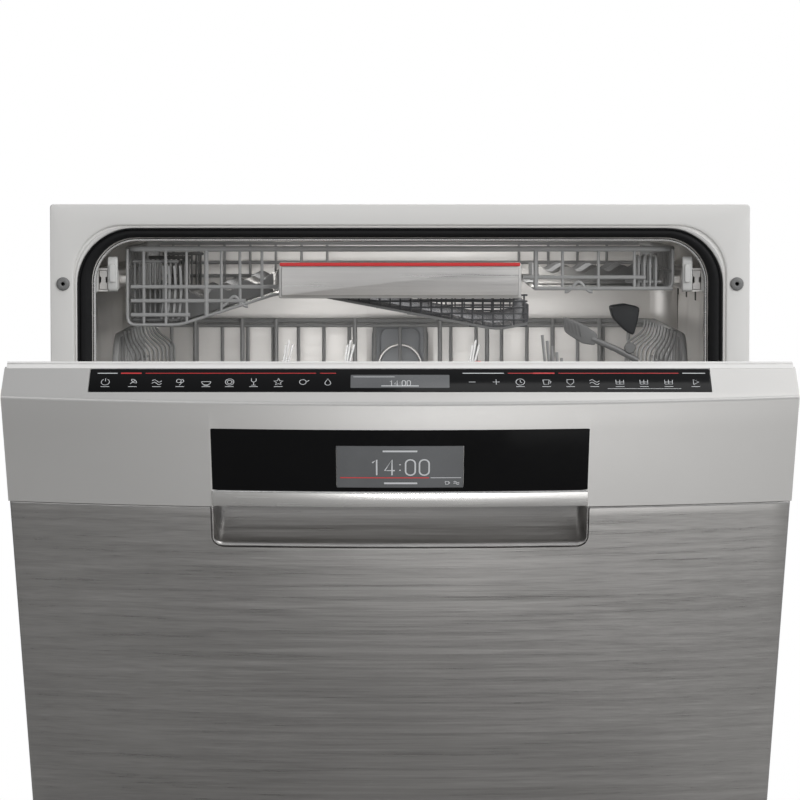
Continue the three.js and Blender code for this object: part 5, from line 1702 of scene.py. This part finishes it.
class MiddleRack(bpy.types.Operator):
    """The middle rack: basket wires, runners, folding cup shelves, folding tines and small holders"""

    bl_idname = "dishwasher.middle_rack"
    bl_label = "Middle rack"

    def execute(self, context):
        self.sizes = context.scene.dishwasher_sizes
        fine = self.sizes.fine_wire / MM
        low, high = span("middle_basket")
        shape = Shape()
        half = 247.4
        box = ((half, 34.5, 459.5), (low[2] + 2.2, high[2] - 2.6))
        rack(shape, self.sizes, box, 665.5, 24.0, (low[2] + 60, 560), np.linspace(89.5, 404.5, 10))
        for x in (-200, -154, -121, -44, 39, 85, 149, 195):
            wires(shape, [np.array([(x, 455.5, 560), (x, 455.5, 702)])], 2.2)
        wires(shape, [along_x(456, 695.5, -half, half)], 1.9)
        for x, count, height in ((58, 9, 52), (116, 9, 52), (176, 9, 52), (-150, 9, 52)):
            hairpins(shape, x, low[2] + 3, 56, 440, count, height, fine)
        make("middle_rack_wires", shape, "rack_wire", "middle_basket",
             replaces=["middle_basket"])
        for name, sign in (("left", -1), ("right", 1)):
            self.runner(name, sign)
            self.shelf(name, sign)
        self.tines()
        self.props()
        return {"FINISHED"}

    def runner(self, name, sign):
        shape = Shape()
        a, b = sorted((sign * 249.4, sign * 251.2))
        slab(shape, "y", rounded(a, b, 631, 649, 0.7, 3), 24.2, 449.8, edge=0.4)
        for y in (60, 240, 410):
            a, b = sorted((sign * 244.6, sign * 250.4))
            pad(shape, (a, y, 626), (b, y + 22, 654), 1.2, 3, "x")
        make(f"middle_runner_{name}", shape, "grey_plastic", "middle_basket")

    def shelf(self, name, sign):
        """A cup shelf folded up: wires from the hinge rod, bent like an S below their tips, and three rods."""
        low, high = span(f"cup_shelf_{name}")
        x = sign * 242.0
        shape = Shape()
        wires(shape, [along_y(x, low[2] + 1.6, low[1], high[1])], 1.6)
        wires(shape, [along_y(x, z, low[1], high[1]) for z in (low[2] + 34, low[2] + 62)], 1.2)
        for t in np.linspace(0, 1, 11):
            y = low[1] + 3 + t * (high[1] - low[1] - 6)
            knee, tip = sign * (235 - 18 * t), sign * (243 - 7 * t)
            path = [(x, y, low[2] + 1.6), (knee, y, 636), (knee, y, 680), (tip - sign * 2, y, 692),
                    (tip, y, 703)]
            wire(shape, fillet(np.array(path), 5, 4), 1.1, up=(0, 1, 0))
        make(f"cup_rest_{name}", shape, "rack_wire", f"cup_shelf_{name}",
             replaces=[f"cup_shelf_{name}"])

    def tines(self):
        low, high = span("middle_tines")
        shape = Shape()
        x, z = (low[0] + high[0]) / 2, low[2] + 2
        wires(shape, [along_y(x, z, low[1], high[1])], 1.9)
        hairpins(shape, x, z, low[1] + 14, high[1] - 14, 11, high[2] - z, self.sizes.fine_wire / MM, gap=12)
        make("middle_tine_row", shape, "rack_wire", "middle_tines", replaces=["middle_tines"])

    def props(self):
        """Small holders: a corner holder, a paddle, a ribbed fan, a clip and splayed glass props."""
        shape = Shape()
        for x in (-104, -49, 63):
            for lean in (-1, 0, 1):
                path = np.array([(x + lean, 150, 604), (x + 1.6 * lean, 150, 664),
                                 (x + 5 + 3 * lean, 150, 693 - 4 * abs(lean))])
                wire(shape, fillet(path, 12, 4), 1.0, up=(0, 1, 0))
        wires(shape, [along_x(150, 604, -245, 245)], 1.9)
        for step in range(7):
            path = np.array([(134 + 2.4 * step, 60, 604), (124 + 4.2 * step, 60, 701 - 5 * step)])
            wire(shape, path, 1.3, up=(0, 1, 0))
        wires(shape, [along_x(60, 604, -245, 245)], 1.6)
        make("glass_props", shape, "rack_wire", "middle_basket")
        shape = Shape()
        holder = np.array([(183, 726), (196, 728), (209.5, 725), (207.5, 712), (204, 700), (197, 704),
                           (186, 715)])
        slab(shape, "y", fillet(holder, 3, 3, closed=True), 66, 92, edge=1.5)
        make("corner_holder", shape, "dark_plastic", "middle_basket")
        shape = Shape()
        paddle = np.array([(141, 718), (159, 711), (172, 702), (170, 692), (158, 694), (143, 704)])
        slab(shape, "y", fillet(paddle, 3, 3, closed=True), 52, 55, edge=1.0)
        for step in range(5):
            start = np.array([143.5 + 3 * step, 51.6, 716 - 1.4 * step])
            ribbon(shape, [start, start + (2.4, 0, -10.5)], 0.9, 1.0, (0, 1, 0))
        wire(shape, np.array([(167, 53.5, 698), (188, 53.5, 689), (207, 53.5, 679)]), 2.6, up=(0, 1, 0))
        turned(shape, "y", (200, 690), [(0, 50), (4, 50), (5, 51), (5, 56), (4, 57), (0, 57)], 20)
        make("paddle", shape, "grey_plastic", "middle_basket")
        shape = Shape()
        pad(shape, (65, 62, 664), (71, 72, 678), 1.0, 1.6)
        make("red_clip", shape, "accent", "middle_basket")


class LowerRack(bpy.types.Operator):
    """The lower rack: basket wires, folding tines, wheels and its lift handle"""

    bl_idname = "dishwasher.lower_rack"
    bl_label = "Lower rack"

    def execute(self, context):
        sizes = context.scene.dishwasher_sizes
        fine = sizes.fine_wire / MM
        high = span("lower_basket")[1]
        shape = Shape()
        box = ((243.4, 50.5, 459.5), (172.4, high[2] - 2.6))
        rack(shape, sizes, box, 297.5, 25.0, (215, 262, 345), np.linspace(104.7, 405.3, 10))
        for x in (-190, -130, -70, -10, 50, 212):
            hairpins(shape, x, 175, 78, 440, 10, 78, fine, gap=13)
        make("lower_rack_wires", shape, "rack_wire", "lower_basket",
             replaces=["lower_basket"])
        self.carriers()
        self.tines(fine)
        for place in ("front_left", "front_right", "rear_left", "rear_right"):
            self.wheel(place)
        shape = Shape()
        path = np.array([(-92, 49, 297), (-84, 49, 310), (84, 49, 310), (92, 49, 297)])
        swept(shape, fillet(path, 10, 5), rounded(-6, 6, -4, 4, 3.4, 4), up=(0, 1, 0.001))
        make("lower_handle", shape, "grey_plastic", "lower_basket")
        return {"FINISHED"}

    def carriers(self):
        """The plastic carriers that hold the wheels: a cheek with a stub axle, and a hook over a floor wire."""
        shape = Shape()
        for place in ("front_left", "front_right", "rear_left", "rear_right"):
            low, high = span(f"wheel_{place}")
            y, z, sign = (low[1] + high[1]) / 2, (low[2] + high[2]) / 2, 1 if low[0] > 0 else -1
            inner = low[0] if sign > 0 else high[0]
            outline = np.concatenate([arc(y, z, 7, 180, 360, 8),
                                      [(y + 12, z + 22), (y + 9, z + 28), (y - 9, z + 28), (y - 12, z + 22)]])
            a, b = sorted((inner - sign * 4.3, inner - sign * 0.4))
            slab(shape, "x", outline, a, b, edge=0.8)
            a, b = sorted((inner - sign * 1.0, inner + sign * 8.6))
            turned(shape, "x", (y, z), [(0, a), (3.8, a), (3.8, b), (0, b)], 20)
        make("wheel_carriers", shape, "grey_plastic", "lower_basket")

    def tines(self, fine):
        low, high = span("lower_tines")
        x, z = (low[0] + high[0]) / 2, low[2] + 2
        shape = Shape()
        wires(shape, [along_y(x, z, low[1], high[1])], 1.9)
        hairpins(shape, x, z, low[1] + 14, high[1] - 14, 11, high[2] - z, fine, gap=12)
        make("lower_tine_row", shape, "rack_wire", "lower_tines", replaces=["lower_tines"])

    def wheel(self, place):
        low, high = span(f"wheel_{place}")
        centre, radius = ((low[1] + high[1]) / 2, (low[2] + high[2]) / 2), (high[2] - low[2]) / 2
        a, b = low[0], high[0]
        shape = Shape()
        profile = [(4.5, a), (6.6, a), (7.2, a + 1.4), (11.4, a + 1.4), (12.2, a + 0.2), (radius - 0.8, a),
                   (radius, a + 0.9),
                   (radius, b - 0.9), (radius - 0.8, b), (12.2, b - 0.2), (11.4, b - 1.4), (7.2, b - 1.4),
                   (6.6, b), (4.5, b),
                   (4.5, a)]
        turned(shape, "x", centre, profile, 40)
        make(f"roller_{place}", shape, "grey_plastic", f"wheel_{place}",
             replaces=[f"wheel_{place}"])


class SprayArms(bpy.types.Operator):
    """The two spray arms: hollow-looking twisted blades on a hub, with slotted nozzles"""

    bl_idname = "dishwasher.spray_arms"
    bl_label = "Spray arms"

    def execute(self, context):
        for name, hub_r in (("lower_spray_arm", 23.5), ("middle_spray_arm", 19.5)):
            self.arm(name, hub_r)
        return {"FINISHED"}

    def arm(self, name, hub_r):
        """A blade that swells from the hub and has a flattened oval section: |y|^2.6 + |z|^2.6 = 1."""
        low, high = span(name)
        base, y0, thick = low[2], 247.0, 9.6
        x = np.concatenate([np.linspace(-215, -205, 6), np.linspace(-200, 200, 61), np.linspace(205, 215, 6)])
        t = np.linspace(0, 2 * math.pi, 28, endpoint=False)
        width = 13 + 15 * np.exp(-((x / 60) ** 2)) + 5 * (1 - np.exp(-((x / 120) ** 2)))
        width *= np.sqrt(np.clip(1 - ((np.abs(x) - 205).clip(0) / 10.2) ** 2, 0.02, 1))
        squash = np.clip(1.0 - 0.35 * np.abs(x) / 215, 0, 1) * np.where(np.abs(x) > 205, 0.6, 1)
        skew = 3.0 * np.sin(x / 215 * math.pi / 2)
        cosine, sine = np.cos(t), np.sin(t)
        a = np.sign(cosine) * np.abs(cosine) ** (2 / 2.6)
        b = np.sign(sine) * np.abs(sine) ** (2 / 2.6)
        y = y0 + skew[:, None] + width[:, None] * a
        z = base + thick / 2 + thick / 2 * squash[:, None] * b
        shape = Shape()
        shape.loft(np.stack([np.broadcast_to(x[:, None], y.shape), y, z], -1))
        turned(shape, "z", (0, y0), [(0, base), (hub_r, base), (hub_r, base + 8), (hub_r - 2, high[2] - 3),
                                     (hub_r - 4, high[2] - 0.6),
                                     (6, high[2] - 0.6), (5, high[2]), (0, high[2])], 40)
        for place in (-196, -162, -128, -94, -60, 46, 80, 114, 148, 182):
            k = int(np.argmin(np.abs(x - place)))
            top = base + thick / 2 + thick / 2 * squash[k]
            turned(shape, "z", (place, y0 + skew[k]), [(0, top - 1), (4.6, top - 1), (4.2, top + 0.35),
                                                       (1.4, top + 0.4),
                                                       (1.0, top - 0.2), (0, top - 0.2)], 16)
        make(f"{name}_blade", shape, "grey_plastic", name, replaces=[name])


# ---- Stage ----
FLOOR_FADE = (0.9, 1.6)


class Stage(bpy.types.Operator):
    """The pale floor, the soft studio lights, the lamps inside the tub and the camera"""

    bl_idname = "dishwasher.stage"
    bl_label = "Stage"

    def execute(self, context):
        self.floor(context)
        self.world(context)
        self.lights(context)
        self.camera(context)
        context.scene.view_settings.view_transform = "Standard"
        return {"FINISHED"}

    def floor(self, context):
        """A disc that fades out between two distances from its middle, so that it has no edge or horizon."""
        mesh = bpy.data.meshes.new("floor")
        t = np.linspace(0, 2 * math.pi, 64, endpoint=False)
        points = np.stack([FLOOR_FADE[1] * np.cos(t), FLOOR_FADE[1] * np.sin(t), np.full(64, -0.0005)], -1)
        mesh.from_pydata(points, [], [np.arange(64).tolist()])
        material = finish("floor_finish", (0.45, 0.447, 0.44), 0.7, fineness=60, bump=0.01)
        tree = material.node_tree
        away = node(tree, "VectorMath", {0: tree.nodes["Texture Coordinate"].outputs["Object"]},
                    operation="LENGTH")
        fade = node(tree, "MapRange", {"Value": away.outputs["Value"], "From Min": FLOOR_FADE[0],
                                       "From Max": FLOOR_FADE[1], "To Min": 1.0, "To Max": 0.0})
        tree.links.new(fade.outputs[0], tree.nodes["Principled BSDF"].inputs["Alpha"])
        mesh.materials.append(material)
        floor = bpy.data.objects.new("floor", mesh)
        context.scene.collection.objects.link(floor)

    def world(self, context):
        """White where the camera sees it; as a light it is dim on the left and bright on the right."""
        world = bpy.data.worlds.new("studio")
        context.scene.world = world
        world.use_nodes = True
        tree = world.node_tree
        tree.nodes.clear()
        seen = node(tree, "Background", {"Color": (1, 1, 1, 1), "Strength": 1.0})
        where = node(tree, "TexCoord").outputs["Generated"]
        across_x = node(tree, "SeparateXYZ", {0: where}).outputs["X"]
        level = node(tree, "MapRange", {"Value": across_x, "From Min": -0.7, "From Max": 0.7,
                                        "To Min": 0.16, "To Max": 0.60}).outputs[0]
        light = node(tree, "Background", {"Color": (0.95, 0.97, 1.0, 1), "Strength": level})
        camera_ray = node(tree, "LightPath")
        mixed = node(tree, "MixShader", {0: camera_ray.outputs["Is Camera Ray"], 1: light.outputs[0],
                                         2: seen.outputs[0]})
        node(tree, "OutputWorld", {"Surface": mixed.outputs[0]})

    def lights(self, context):
        for name, place, target, size, power in (
            ("key", (1.9, -2.6, 2.2), (0, -0.2, 0.55), 1.8, 54),
            ("fill", (-1.6, -2.8, 1.5), (0, -0.2, 0.5), 2.2, 16),
            ("front", (-0.02, -3.5, 1.15), (0, 0, 0.75), 0.6, 1.8),
            ("top", (0.9, -0.1, 3.0), (0.1, -0.2, 0.8), 1.8, 17),
            ("back", (0.6, 2.8, 2.2), (0, 0.3, 0.5), 2.2, 40),
            ("low_right", (0.29, -0.86, 0.02), (0.29, -0.80, 1.0), 0.34, 0.50),
            ("low_middle", (0.035, -0.80, 0.02), (0.035, -0.74, 1.0), 0.13, 0.50),
            ("tub_glow", (0, 0.10, 0.704), (0, 0.30, 0.40), 0.36, 0.95),
        ):
            data = bpy.data.lights.new(name, "AREA")
            data.shape, data.size, data.energy = "SQUARE", size, power
            lamp = bpy.data.objects.new(name, data)
            lamp.location = place
            lamp.visible_camera = False
            aim = np.array(target) - np.array(place)
            lamp.rotation_euler = self.facing(aim)
            context.scene.collection.objects.link(lamp)
        roof = TUB_HIGH[2] - 11
        for name, x in (("tub_lamp_left", -106.0), ("tub_lamp_right", 106.0)):
            data = bpy.data.lights.new(name, "SPOT")
            data.energy, data.shadow_soft_size = 0.7, 0.02
            data.spot_size, data.spot_blend = math.radians(150), 0.9
            data.color = (1.0, 0.97, 0.93)
            lamp = bpy.data.objects.new(name, data)
            lamp.location = place_cabinet(np.array([x, LAMP_Y, roof]))
            lamp.rotation_euler = self.facing(np.array((0, 0.5, -1.0)))
            context.scene.collection.objects.link(lamp)

    def facing(self, aim):
        """Euler angles that turn a lamp or camera, which looks along -Z, to look along aim."""
        return Vector(aim).to_track_quat("-Z", "Y").to_euler()

    def camera(self, context):
        data = bpy.data.cameras.new("camera")
        data.sensor_width, data.lens = 36.0, 168.6
        camera = bpy.data.objects.new("camera", data)
        camera.location = (0.0, FLANGE * MM - 3.2034, 0.825)
        camera.rotation_euler = (math.radians(90 - 3.17), 0.0, 0.0)
        context.scene.collection.objects.link(camera)
        context.scene.camera = camera


STEPS = (
    Stage, Console, FrontGlass, DoorPanel, KeyGlass, KeyMarks, DisplayMarks, InnerDoor, Dispenser, Latch,
    FrontFrame, Tub, TubFittings, Casing, Works, Rails, Drawer, MiddleRack, LowerRack, SprayArms,
)


class DishwasherPanel(bpy.types.Panel):
    bl_idname = "VIEW3D_PT_dishwasher"
    bl_label = "Dishwasher"
    bl_space_type = "VIEW_3D"
    bl_region_type = "UI"
    bl_category = "Dishwasher"

    def draw(self, context):
        layout = self.layout
        for group_name in ("dishwasher_sizes", "dishwasher_colours"):
            settings = getattr(context.scene, group_name)
            column = layout.column(align=True)
            for name in settings.__annotations__:
                column.prop(settings, name)
        column = layout.column()
        for step in STEPS:
            column.operator(step.bl_idname)


CLASSES = (DishwasherSizes, DishwasherColours, *STEPS, DishwasherPanel)


def register():
    for item in CLASSES:
        bpy.utils.register_class(item)
    bpy.types.Scene.dishwasher_sizes = bpy.props.PointerProperty(type=DishwasherSizes)
    bpy.types.Scene.dishwasher_colours = bpy.props.PointerProperty(type=DishwasherColours)


def unregister():
    del bpy.types.Scene.dishwasher_colours
    del bpy.types.Scene.dishwasher_sizes
    for item in reversed(CLASSES):
        bpy.utils.unregister_class(item)


def main():
    register()
    for step in STEPS:
        family, name = step.bl_idname.split(".")
        getattr(getattr(bpy.ops, family), name)()


if __name__ == "__main__":
    main()
